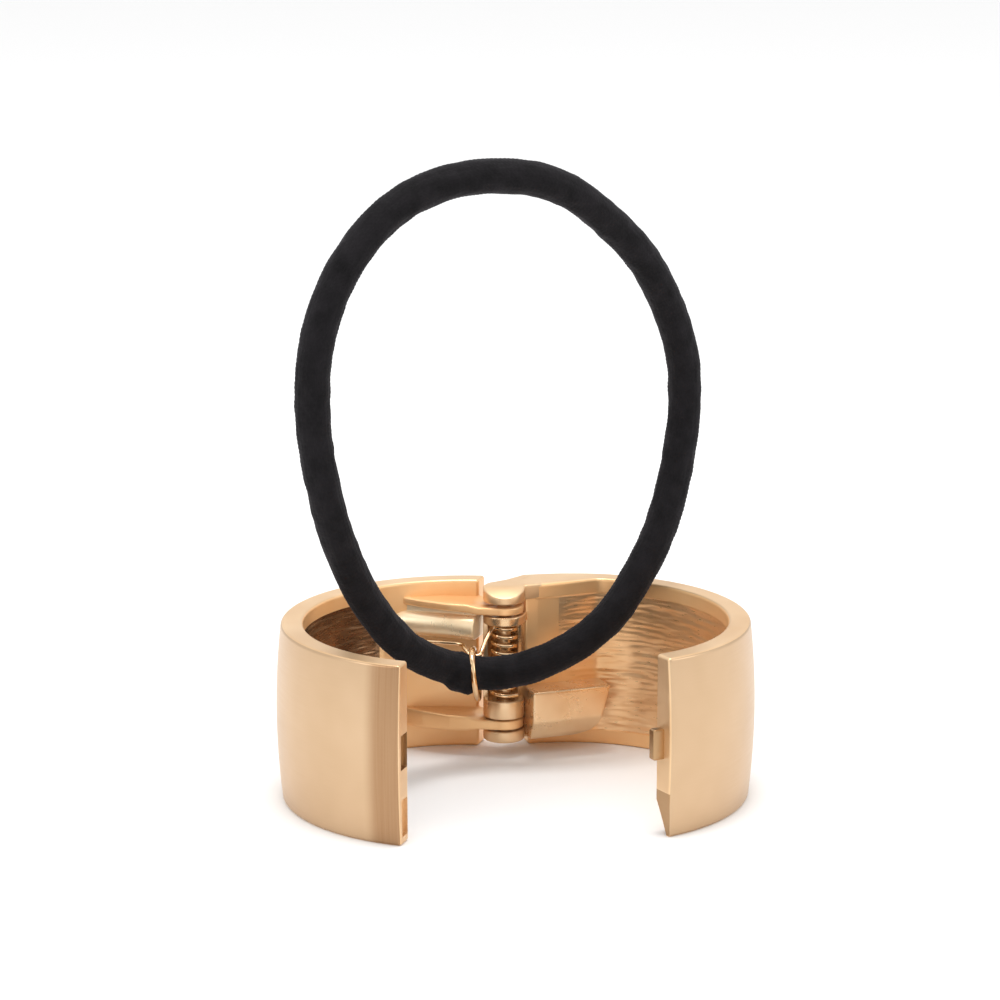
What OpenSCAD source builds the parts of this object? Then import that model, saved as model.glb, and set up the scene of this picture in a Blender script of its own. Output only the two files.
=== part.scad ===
// A hinged ponytail cuff with its elastic loop, shown open.
// Each half is modelled closed, with the hinge pin on the Z axis and the middle of the barrel
// in front of it, then turned about the pin by half the opening.
// The origin is the middle of the open cuff on the surface it stands on. Y points away from the opening.

/* [Barrel] */
// Height of the cuff
cuff_h = 20; // [17:0.5:24]
// Outer radius of the closed barrel at its rims
cuff_r = 20; // [18:0.5:23]
// How far the outside swells between the rims
bulge = 0.6; // [0.2:0.05:1.2]
// Thickness of the rims
rim_t = 2.45; // [2:0.05:3]
// Height of the smooth band inside each rim
band_h = 1.7; // [1:0.1:2.5]
// Depth of the sunk cast face between the bands
sunk = 0.35; // [0.1:0.05:0.6]
// Chamfer along the rims
rim_chamfer = 0.3; // [0.1:0.05:0.5]
// Angle between the halves as shown, from closed
opening = 46; // [20:1:52]
// Distance of the left front end from the middle plane of the closed cuff
end_gap = 0.25; // [0.15:0.05:0.5]
// Distance of the right front end from that plane
right_gap = 0.8; // [0.6:0.05:1]
// Width of the plain strip beside each front end
end_strip = 2.2; // [1.8:0.1:3]

/* [Hinge] */
// Distance of the pin's axis inside the rims' inner face
pin_inset = 2.05; // [1.9:0.05:2.3]
// Diameter of the hinge pin
pin_d = 1.6; // [1.2:0.1:1.8]
// Radial clearance of the pin in its bores
bore_clear = 0.04; // [0.02:0.01:0.08]
// Outer diameter of the right half's knuckles, cap and foot
knuckle_d = 4.8; // [4.6:0.1:5]
// Outer diameter of the left half's ears round the pin
ear_d = 4.5; // [4:0.1:4.6]
// Vertical clearance between ears and knuckles
ear_gap = 0.2; // [0.1:0.05:0.3]
// Thickness of the cap over the hinge
cap_h = 1.75; // [1.4:0.05:2]
// Height of the gap between the cap and the upper ear
cap_gap = 0.4; // [0.2:0.05:0.6]
// Height of the foot's underside
foot_z = 1.8; // [1.6:0.1:2]
// Thickness of the foot under the hinge
foot_h = 1.3; // [1:0.1:1.4]
// Thickness of the upper ear
upper_ear_h = 0.9; // [0.7:0.05:1.1]
// Rise of the upper ear's arm from the pin to the wall
upper_ear_rise = 0.5; // [0.1:0.05:0.6]
// Thickness of the lower ear at the pin
lower_ear_h = 1.1; // [0.8:0.05:1.2]
// Rise of the lower ear's top from the pin to the wall
lower_ear_rise = 0.7; // [0.2:0.1:1.2]
// Drop of the lower ear's underside from the pin to the wall
lower_ear_drop = 0.4; // [0.1:0.1:0.9]
// Height of the upper knuckle
upper_knuckle_h = 1.05; // [0.9:0.05:1.15]
// Height of the lower knuckle
lower_knuckle_h = 2.1; // [1.8:0.05:2.4]
// Thickness of the trough wall behind the spring
trough_t = 0.55; // [0.4:0.05:0.6]
// Angle round the pin at which the trough ends, from the right
trough_turn = 150; // [120:5:160]
// Distance of the left wall's back end from the middle plane
back_gap = 3.65; // [3.4:0.05:4]
// Angle that the right wall stops short of the back
right_back = 13.3; // [11:0.1:15]
// Angle from the back where the column of the cap and foot meets the right wall
column_turn = 43; // [41:0.5:45]
// Angle from the back where the right half's sunk face starts
sunk_turn = 46; // [45.5:0.5:50]
// How far in front of the pin's axis the cap and the foot reach beside it
cap_front = 0.9; // [0.7:0.1:1.2]
// How far in front of the pin's axis the column between them reaches
column_front = 0.6; // [0.3:0.1:0.7]
// How far the ears' arms reach to the left of the pin
arm_reach = 11.3; // [9:0.1:12]
// How far the arms reach in front of the pin
arm_front = 3.3; // [2.6:0.1:3.6]

/* [Lug and block] */
// Diameter of the half-round lug under the upper ear
lug_d = 2.8; // [2.4:0.1:3]
// Distance of the lug's free end to the left of the pin
lug_gap = 2.7; // [2.7:0.1:3.6]
// Height of the lug's axis
lug_z = 15.3; // [15:0.1:15.5]
// Length of the block's front face
block_l = 9.6; // [8:0.1:10]
// Distance of the block's front face from the pin at its near end
block_front = 4.2; // [3.8:0.1:4.6]
// How far the far end of the block's front face leans further in
block_lean = 1.3; // [0.8:0.1:1.6]
// Height of the block's underside
block_z = 2.2; // [1.8:0.1:2.6]
// Height of the block's top
block_top = 8; // [7.2:0.1:8.4]
// Height of the bevel under the block's front face
block_bevel = 2.2; // [1:0.1:2.6]
// How far that bevel goes in
block_bevel_in = 0.9; // [0.4:0.1:1.2]

/* [Spring] */
// Diameter of the spring's wire
spring_wire = 0.5; // [0.4:0.05:0.55]
// Mean diameter of the coils
spring_d = 2.7; // [2.5:0.05:2.8]
// Rise of one turn
spring_pitch = 0.93; // [0.8:0.01:1.1]
// Length of the lower leg, towards the right half
low_leg = 1; // [0.6:0.1:1.2]
// How far the upper leg reaches forward to hold the jump ring
hook_front = 3.4; // [3.3:0.1:3.5]
// Height of the upper leg where it holds the jump ring
hook_z = 12.8; // [12.7:0.1:12.9]
// Length of the upper leg under the lug
leg_l = 5; // [4:0.1:6]

/* [Front ends] */
// How far the catch tab stands out of the right end
tab_l = 1.3; // [1.2:0.1:1.6]
// Height of the tab
tab_h = 3.4; // [2.4:0.1:4]
// Height of the tab's underside
tab_z = 8.6; // [7.5:0.1:9.5]
// Thickness of the tab
tab_t = 1.15; // [0.8:0.05:1.3]
// Distance of the tab from the inner face of the rims
tab_inset = 0.5; // [0.45:0.05:0.65]
// Clearance of the tab in its slot
catch_clear = 0.2; // [0.15:0.05:0.25]
// Height up to which the right end's inner lower corner is cut away
corner_h = 5.1; // [3.5:0.1:5.5]
// Length along the wall of that cut
corner_l = 4; // [2:0.1:6]
// Depth of the shallow seat in the left end
seat_depth = 0.5; // [0.3:0.1:0.8]
// Height of that seat
seat_h = 4.1; // [3:0.1:4.6]
// Height of that seat's lower edge
seat_z = 0.9; // [0.7:0.1:1.4]

/* [Elastic] */
// Thickness of the elastic
elastic_d = 3.8; // [3.4:0.1:4]
// Mean diameter of the jump ring
jump_d = 5.7; // [5.6:0.1:6]
// Diameter of the jump ring's wire
jump_wire = 0.6; // [0.4:0.05:0.65]

/* [Hidden] */

GOLD = "#e3b27c";
PALE_GOLD = "#efc79a";
BLACK = "#1c1b1d";

// Facets of true circles, and of the large circle that swells the outside
ROUND = 96;
LARGE_ROUND = 240;
// Margin by which a cut passes the face that it opens
PAST = 1;
// How far a piece is sunk into the wall that it is cast with
ROOT = 0.3;

// Front line of the left half's arms from the wall to the pin, as shares of arm_reach and arm_front
ARM_LINE = [[1, 0.7], [0.8, 0.84], [0.5, 0.93]];
// Rise of the arms between the pin and the wall, as a share of the way and of the rise
ARM_BEND = [0.15, 0.55];
// Far end of the block seen from the front, from below, as shares of its length and height
BLOCK_LINE = [[0.55, 0], [0.78, 0.08], [0.87, 0.24], [1, 1]];
// The spring's upper leg round the jump ring: distance to the left, then shares of hook_front and of the drop
HOOK_ROUTE = [[0.9, 0, 0], [1.3, 0.35, 0.4], [1.4, 0.7, 0.8], [1.55, 0.95, 1], [2.5, 1, 1], [3.4, 0.8, 0.8]];
// Distance to the left at which that leg straightens out, and its share of hook_front from there
LEG_START = [4.2, 0.55];

inner_r = cuff_r - rim_t;
sunk_r = inner_r + sunk;
side_r = cuff_r + bulge;
// Distance from the pin's axis to the middle of the closed barrel
to_middle = inner_r - pin_inset;
half_open = opening / 2;
// Angle that each front end stops short of the middle, and the width of its plain strip as an angle
end_turn = asin(end_gap / cuff_r);
right_turn = asin(right_gap / cuff_r);
strip_turn = asin(end_strip / inner_r);

pin_r = pin_d / 2;
bore_r = pin_r + bore_clear;
knuckle_r = knuckle_d / 2;
ear_r = ear_d / 2;
// Radius round the pin that the right half leaves free for the ears
free_r = knuckle_r + ear_gap / 2;

// The open cuff's reach in front of and behind the pin, and the pin's place from them
front_reach = (to_middle + side_r * cos(end_turn)) * cos(half_open) - side_r * sin(end_turn) * sin(half_open);
back_reach = side_r - to_middle * cos(half_open);
pin_y = (front_reach - back_reach) / 2;

// Heights of the hinge's pieces, from the top down and from the foot up
cap_z = cuff_h - cap_h;
upper_ear_z = cap_z - cap_gap - upper_ear_h;
upper_knuckle_z = upper_ear_z - ear_gap - upper_knuckle_h;
foot_top = foot_z + foot_h;
lower_ear_z = foot_top + ear_gap;
lower_ear_top = lower_ear_z + lower_ear_h;
lower_knuckle_z = lower_ear_top + ear_gap;
lower_knuckle_top = lower_knuckle_z + lower_knuckle_h;

// Places the children about the middle of the closed barrel
module at_middle() {
    translate([0, -to_middle, 0]) children();
}

// Turns the children about the pin and moves them to the pin's place
module opened(turn) {
    translate([0, pin_y, 0]) rotate([0, 0, turn]) children();
}

// A point of the closed barrel in plan: radius, and angle from the back towards the right
function on_barrel(radius, angle) = [radius * sin(angle), radius * cos(angle) - to_middle];

// Section of the wall: radius across, height up, chamfered rims and a swollen outside
module wall_section() {
    swell_r = (pow(cuff_h / 2, 2) + pow(bulge, 2)) / (2 * bulge);
    over = bulge + PAST;
    intersection() {
        translate([side_r - swell_r, cuff_h / 2]) circle(r = swell_r, $fn = LARGE_ROUND);
        polygon([
            [inner_r, rim_chamfer],
            [inner_r + rim_chamfer, 0],
            [cuff_r - rim_chamfer, 0],
            [cuff_r + over, rim_chamfer + over],
            [cuff_r + over, cuff_h - rim_chamfer - over],
            [cuff_r - rim_chamfer, cuff_h],
            [inner_r + rim_chamfer, cuff_h],
            [inner_r, cuff_h - rim_chamfer]
        ]);
    }
}

// A stretch of a ring with the given section, between two angles from the back towards the right
module sweep(from, to) {
    at_middle() rotate([0, 0, 90 - to]) rotate_extrude(angle = to - from, $fn = LARGE_ROUND) children();
}

// The sunk cast face, as the solid that is taken out of a wall
module sunk_face(from, to) {
    sweep(from, to) translate([inner_r - PAST, band_h]) square([sunk + PAST, cuff_h - 2 * band_h]);
}

// Keeps a piece inside the barrel, with its root the given depth into the wall
module rooted(depth) {
    intersection() {
        children();
        at_middle() translate([0, 0, -PAST])
            cylinder(r = sunk_r + depth, h = cuff_h + 2 * PAST, $fn = LARGE_ROUND);
    }
}

module pin_bore(z, height) {
    translate([0, 0, z]) cylinder(r = bore_r, h = height, $fn = ROUND);
}

// Outline of an ear and its arm: round the pin, then widening forward to the wall
module ear_outline() {
    wall_end = on_barrel(inner_r + 2 * ROOT, -asin((back_gap + ROOT) / inner_r));
    front_line = [for (share = ARM_LINE) [-arm_reach * share[0], -arm_front * share[1]]];
    circle(r = ear_r, $fn = ROUND);
    polygon(concat(
        [[0, ear_r], wall_end, [-arm_reach - rim_t, wall_end[1]], [-arm_reach - rim_t, -arm_front / 3]],
        front_line,
        [[0, -ear_r]]
    ));
}

// An ear and its arm: level round the pin, then with faces that rise or drop on the way to the wall
module ear(z, height, under, over) {
    bend_x = -knuckle_r - ARM_BEND[0] * (arm_reach - knuckle_r);
    rooted(1.5 * ROOT) intersection() {
        linear_extrude(cuff_h) ear_outline();
        translate([0, cuff_r, 0]) rotate([90, 0, 0]) linear_extrude(2 * cuff_r)
            polygon([
                [cuff_r, z],
                [cuff_r, z + height],
                [-knuckle_r, z + height],
                [bend_x, z + height + ARM_BEND[1] * over],
                [-arm_reach, z + height + over],
                [-cuff_r, z + height + over],
                [-cuff_r, z + under],
                [-arm_reach, z + under],
                [bend_x, z + ARM_BEND[1] * under],
                [-knuckle_r, z]
            ]);
    }
}

// The half-round lug and the web that joins it to the upper ear and the wall
module lug() {
    lug_r = lug_d / 2;
    axis_y = lug_r - arm_front;
    rooted(2 * ROOT) {
        translate([-lug_gap, axis_y, lug_z]) rotate([0, -90, 0])
            cylinder(r = lug_r, h = arm_reach + rim_t - lug_gap, $fn = ROUND);
        translate([-arm_reach - rim_t, axis_y, lug_z - lug_r])
            cube([arm_reach + rim_t - lug_gap, cuff_r, upper_ear_z + 0.75 * upper_ear_h - lug_z + lug_r]);
    }
}

// The slot that takes the catch tab, and the shallow seat below it, in the left front end
module left_end_cuts() {
    slot_l = tab_l - right_gap - end_gap + catch_clear;
    slot_w = tab_t + 2 * catch_clear;
    slot_y = -inner_r - tab_inset - tab_t - catch_clear;
    at_middle() {
        translate([-end_gap - slot_l, slot_y, tab_z - catch_clear])
            cube([slot_l + PAST, slot_w, tab_h + 2 * catch_clear]);
        translate([-end_gap - seat_depth, slot_y, seat_z]) cube([seat_depth + PAST, slot_w, seat_h]);
    }
}

module left_shell() {
    color(GOLD) opened(-half_open) difference() {
        union() {
            difference() {
                sweep(-180 + end_turn, -asin(back_gap / side_r)) wall_section();
                sunk_face(end_turn + strip_turn - 180, -asin((arm_reach + rim_t) / sunk_r));
                translate([-back_gap, 0, -PAST]) cube([back_gap, cuff_r, cuff_h + 2 * PAST]);
            }
            ear(upper_ear_z, upper_ear_h, upper_ear_rise, upper_ear_rise);
            ear(lower_ear_z, lower_ear_h, -lower_ear_drop, lower_ear_rise);
            lug();
        }
        pin_bore(lower_ear_z - PAST, lower_ear_h + 2 * PAST);
        pin_bore(upper_ear_z - PAST, upper_ear_h + 2 * PAST);
        left_end_cuts();
    }
}

// Outline of the column that carries the cap and the foot, with its inner face so far in front of the pin
module column_outline(face) {
    circle(r = knuckle_r, $fn = ROUND);
    polygon([
        [0, knuckle_r],
        [pin_d, knuckle_r + ear_gap],
        on_barrel(cuff_r, right_back) - [0, rim_chamfer],
        on_barrel(sunk_r + ROOT, column_turn),
        [knuckle_r, -face],
        [0, -face]
    ]);
}

// Outline of an inner knuckle, joined to the column beside it
module knuckle_outline() {
    circle(r = knuckle_r, $fn = ROUND);
    translate([0, -knuckle_r / 2]) square([free_r + ROOT, knuckle_r / 2 + pin_d]);
}

// The half-round trough behind the spring, open to the front and to the left half's leg
module trough_outline() {
    difference() {
        circle(r = knuckle_r, $fn = ROUND);
        circle(r = knuckle_r - trough_t, $fn = ROUND);
        polygon([
            [0, 0],
            knuckle_d * [cos(trough_turn), sin(trough_turn)],
            [-knuckle_d, -knuckle_d],
            [knuckle_d, -knuckle_d],
            [knuckle_d, 0]
        ]);
    }
    translate([knuckle_r - trough_t, 0]) square([trough_t + ROOT, knuckle_r / 2]);
}

// The wedge-shaped block beside the lower knuckle: bevelled below its front face, and cut back at its far end
module block() {
    turn = -atan(block_lean / block_l);
    depth = 2 * block_front + pin_inset;
    height = block_top - block_z;
    far_line = [for (share = BLOCK_LINE) [block_l * share[0], block_z + height * share[1]]];
    rooted(ROOT) translate([pin_d, -block_front, 0]) rotate([0, 0, turn]) intersection() {
        rotate([90, 0, 90]) linear_extrude(2 * block_l)
            polygon([
                [0, block_z + block_bevel],
                [0, block_top],
                [depth, block_top],
                [depth, block_z],
                [block_bevel_in, block_z]
            ]);
        translate([0, depth, 0]) rotate([90, 0, 0]) linear_extrude(depth)
            polygon(concat([[0, block_z]], far_line, [[0, block_top]]));
    }
}

// The slanting cut that takes away the right front end's inner lower corner
module corner_cut() {
    // The plane passes through three points: up the inner face, out to the rim, and along the wall
    up = [0, 0, corner_h];
    out = [0, -rim_t, 0];
    along = [corner_l, 0, 0];
    normal = cross(along - up, out - up);
    tilt = acos(normal[2] / norm(normal));
    turn = atan2(normal[1], normal[0]);
    translate([0, -to_middle - inner_r, 0]) translate(up) rotate([0, 0, turn]) rotate([0, tilt, 0])
        translate([-cuff_h, -cuff_h, normal[2] > 0 ? -cuff_h : 0]) cube([2 * cuff_h, 2 * cuff_h, cuff_h]);
}

module catch_tab() {
    at_middle() translate([right_gap - tab_l, -inner_r - tab_inset - tab_t, tab_z])
        cube([tab_l + rim_t, tab_t, tab_h]);
}

module right_shell() {
    color(GOLD) opened(half_open) difference() {
        union() {
            difference() {
                sweep(right_back, 180 - right_turn) wall_section();
                sunk_face(sunk_turn, 180 - right_turn - strip_turn);
                intersection() {
                    corner_cut();
                    at_middle() translate([0, -cuff_r - PAST, -PAST])
                        cube([corner_l + PAST, rim_t + 2 * PAST, corner_h + PAST]);
                }
            }
            translate([0, 0, cap_z]) linear_extrude(cap_h) column_outline(cap_front);
            translate([0, 0, foot_z]) linear_extrude(foot_h) column_outline(cap_front);
            intersection() {
                translate([0, 0, foot_z]) linear_extrude(cuff_h - foot_z) column_outline(column_front);
                translate([free_r, -cuff_r, 0]) cube([cuff_r, 2 * cuff_r, cuff_h]);
            }
            translate([0, 0, upper_knuckle_z]) linear_extrude(upper_knuckle_h) knuckle_outline();
            translate([0, 0, lower_knuckle_z]) linear_extrude(lower_knuckle_h) knuckle_outline();
            translate([0, 0, lower_knuckle_top - ROOT])
                linear_extrude(upper_knuckle_z - lower_knuckle_top + 2 * ROOT) trough_outline();
            difference() {
                block();
                translate([0, 0, foot_top]) cylinder(r = free_r, h = lower_knuckle_z - foot_top, $fn = ROUND);
            }
            catch_tab();
        }
        pin_bore(-PAST, cap_z + cap_h / 2 + PAST);
    }
}

module hinge_pin() {
    pin_z = foot_z + ear_gap;
    color(PALE_GOLD) opened(0) translate([0, 0, pin_z])
        cylinder(r = pin_r, h = cap_z + cap_h / 2 - ear_gap - pin_z, $fn = ROUND);
}

// A ring of points round a centre. The hint is a direction that the path never runs along.
function ring_round(centre, direction, radius, sides, hint) =
    let (
        side = cross(direction, hint) / norm(cross(direction, hint)),
        up = cross(side, direction) / norm(cross(side, direction))
    )
    [for (i = [0 : sides - 1]) centre + radius * (cos(360 * i / sides) * side + sin(360 * i / sides) * up)];

// Direction of a path at one of its points
function heading(path, i, closed) =
    let (
        count = len(path),
        before = closed ? path[(i + count - 1) % count] : path[max(i - 1, 0)],
        after = closed ? path[(i + 1) % count] : path[min(i + 1, count - 1)]
    )
    (after - before) / norm(after - before);

// A round tube swept along a path: a closed loop, or open with flat ends
module tube(path, radius, sides, closed, hint) {
    rings = len(path);
    points = [
        for (i = [0 : rings - 1])
            each ring_round(path[i], heading(path, i, closed), radius, sides, hint)
    ];
    spans = closed ? rings : rings - 1;
    walls = [
        for (i = [0 : spans - 1], j = [0 : sides - 1])
            let (k = (j + 1) % sides, this = i * sides, next = (i + 1) % rings * sides)
            each [[this + j, this + k, next + k], [this + j, next + k, next + j]]
    ];
    start = [for (j = [sides - 1 : -1 : 0]) j];
    finish = [for (j = [0 : sides - 1]) (rings - 1) * sides + j];
    polyhedron(points = points, faces = closed ? walls : concat(walls, [start, finish]), convexity = 10);
}

// The spring winds upwards and clockwise. Its lower leg leaves the front of the coil towards the right half.
// Its upper leg leaves towards the left half, dips to hold the jump ring and runs on under the lug.
function spring_path() =
    let (
        coil_r = spring_d / 2,
        steps = 14,
        low_z = lower_knuckle_top + ear_gap + spring_wire / 2,
        high_z = upper_knuckle_z - ear_gap - spring_wire / 2,
        leg_z = lug_z - (lug_d + spring_wire) / 2 - ear_gap / 2,
        first = -90 + half_open,
        last = -90 - half_open,
        turns = floor((high_z - low_z) / spring_pitch) + (first - last) / 360,
        count = ceil(turns * steps),
        right = [cos(half_open), sin(half_open), 0],
        left = [-cos(half_open), sin(half_open), 0],
        front = [-sin(half_open), -cos(half_open), 0],
        start = [coil_r * cos(first), coil_r * sin(first), low_z],
        finish = [coil_r * cos(last), coil_r * sin(last), 0]
    )
    concat(
        [start + low_leg * right],
        [
            for (i = [0 : count])
                let (angle = first - 360 * turns * i / count, rise = (high_z - low_z) * i / count)
                [coil_r * cos(angle), coil_r * sin(angle), low_z + rise]
        ],
        [
            for (p = HOOK_ROUTE)
                finish + p[0] * left + p[1] * hook_front * front + [0, 0, high_z - p[2] * (high_z - hook_z)]
        ],
        [
            for (run = [0, leg_l])
                finish + (LEG_START[0] + run) * left + LEG_START[1] * hook_front * front + [0, 0, leg_z]
        ]
    );

module coil_spring() {
    wire_sides = 6;
    near_upright = [0, 0.05, 1];
    color(PALE_GOLD) opened(0) tube(spring_path(), spring_wire / 2, wire_sides, false, near_upright);
}

// The jump ring stands nearly across the view, round the elastic and the spring's upper leg
module jump_ring() {
    ring_at = [-3.7, -4.5, 10.9];
    ring_turn = -8;
    ring_tilt = 7;
    color(PALE_GOLD) opened(0) translate(ring_at) rotate([0, 0, ring_turn]) rotate([0, 90 - ring_tilt, 0])
        rotate_extrude($fn = ROUND) translate([jump_d / 2, 0]) circle(d = jump_wire, $fn = 24);
}

// The elastic's route, chosen by hand, from the jump ring round to the right, measured from the pin's foot
ELASTIC_ROUTE = [
    [-3.5, -5, 11], [0, -5, 11], [3.5, -5, 12], [8, -4.5, 14],
    [12, -3.5, 17], [15, -2, 21], [17.5, -1, 25.5], [19.5, 1, 31],
    [21, 3, 38], [21, 3, 45], [19.5, 2, 50.5], [16, -1, 57.5],
    [11, -4.5, 63], [5, -8.5, 67.5], [-1.5, -11.5, 69], [-8.5, -14.5, 68.5],
    [-14.5, -17, 65.5], [-19.5, -19.5, 59.5], [-22, -20.5, 52.5], [-22.5, -20, 44.5],
    [-21.5, -19, 37], [-19.5, -16.5, 29], [-16.5, -13, 22], [-12.5, -9.5, 16],
    [-8, -6, 12.5]
];

// A smooth closed curve through the route's points, by the Catmull-Rom rule
function smooth_loop(route, steps) =
    let (n = len(route))
    [
        for (i = [0 : n - 1], j = [0 : steps - 1])
            let (
                before = route[(i + n - 1) % n],
                start = route[i],
                end = route[(i + 1) % n],
                after = route[(i + 2) % n],
                t = j / steps
            )
            start + (end - before) * t / 2
                + (2 * before - 5 * start + 4 * end - after) * t * t / 2
                + (3 * start - before - 3 * end + after) * t * t * t / 2
    ];

module elastic_loop() {
    cord_sides = 8;
    steps = 2;
    across_loop = [1, -2, 0];
    color(BLACK) opened(0)
        tube(smooth_loop(ELASTIC_ROUTE, steps), elastic_d / 2, cord_sides, true, across_loop);
}

left_shell();
right_shell();
hinge_pin();
coil_spring();
jump_ring();
elastic_loop();
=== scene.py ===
"""A hinged ponytail cuff in brushed and polished gold, open, with its black knitted elastic loop.

Lengths are in metres and angles in degrees unless a name says otherwise. A half of the cuff is worked out
closed, with the hinge pin on the Z axis and the middle of the barrel in front of it, and is then turned about
the pin and moved to the pin's place.
"""

import logging
from dataclasses import dataclass, field, replace
from enum import Enum

import bpy
import numpy as np
from mathutils import Euler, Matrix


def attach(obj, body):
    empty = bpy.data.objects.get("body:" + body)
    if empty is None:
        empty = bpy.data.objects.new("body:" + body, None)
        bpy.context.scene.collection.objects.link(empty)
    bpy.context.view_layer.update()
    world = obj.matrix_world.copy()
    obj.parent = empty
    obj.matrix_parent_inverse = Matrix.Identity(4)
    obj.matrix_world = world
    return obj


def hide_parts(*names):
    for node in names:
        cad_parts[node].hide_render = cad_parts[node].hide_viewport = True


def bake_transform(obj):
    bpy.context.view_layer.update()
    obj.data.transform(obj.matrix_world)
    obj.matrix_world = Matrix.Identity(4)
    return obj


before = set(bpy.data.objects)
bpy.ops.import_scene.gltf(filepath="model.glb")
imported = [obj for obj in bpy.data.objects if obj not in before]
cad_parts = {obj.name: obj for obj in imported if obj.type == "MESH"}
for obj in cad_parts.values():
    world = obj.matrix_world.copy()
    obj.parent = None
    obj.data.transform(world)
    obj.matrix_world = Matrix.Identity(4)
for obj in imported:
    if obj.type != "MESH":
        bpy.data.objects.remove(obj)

Points = np.ndarray
Socket = bpy.types.NodeSocket
Pair = tuple[float, float]
Triple = tuple[float, float, float]
Layer = tuple[float, float, float, int]
LOG = logging.getLogger("cuff")
MM = 0.001
TINY = 1e-9
"""Keeps a divisor away from 0."""
SAME = 1e-8
"""Distance within which two points are one."""
CORNER_SHARE = 0.45
"""Largest part of a side that a rounded corner takes."""
NEAR = 0.3
"""Share of a step within which an evenly spaced point makes way for a wanted one."""
BORE_EDGE = 0.08 * MM
"""Bevel at the mouth of a bore."""
DOME = 0.45
"""Height of the domed end of a wire, as a share of its radius."""
MIX_SHARE, MIX_COLOURS, MIX_RESULT = 0, (6, 7), 2
"""Places of a colour mix's inputs and of its output."""


class Side(Enum):
    """The two halves of the cuff, with the sign of the turn that opens each."""

    LEFT = -1
    RIGHT = 1

    @property
    def body(self) -> str:
        """Name of the CAD body that the half belongs to."""
        return self.name.lower()


class Slot(Enum):
    """The record's material slots."""

    CAST = "cast_metal"
    BRIGHT = "bright_metal"
    KNIT = "black_knit"


# ----------------------------------------
# Sizes


def turn_of(reach: float, radius: float | Points) -> float | Points:
    """Angle whose sine is a reach over a radius."""
    return np.degrees(np.arcsin(reach / radius))


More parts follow.
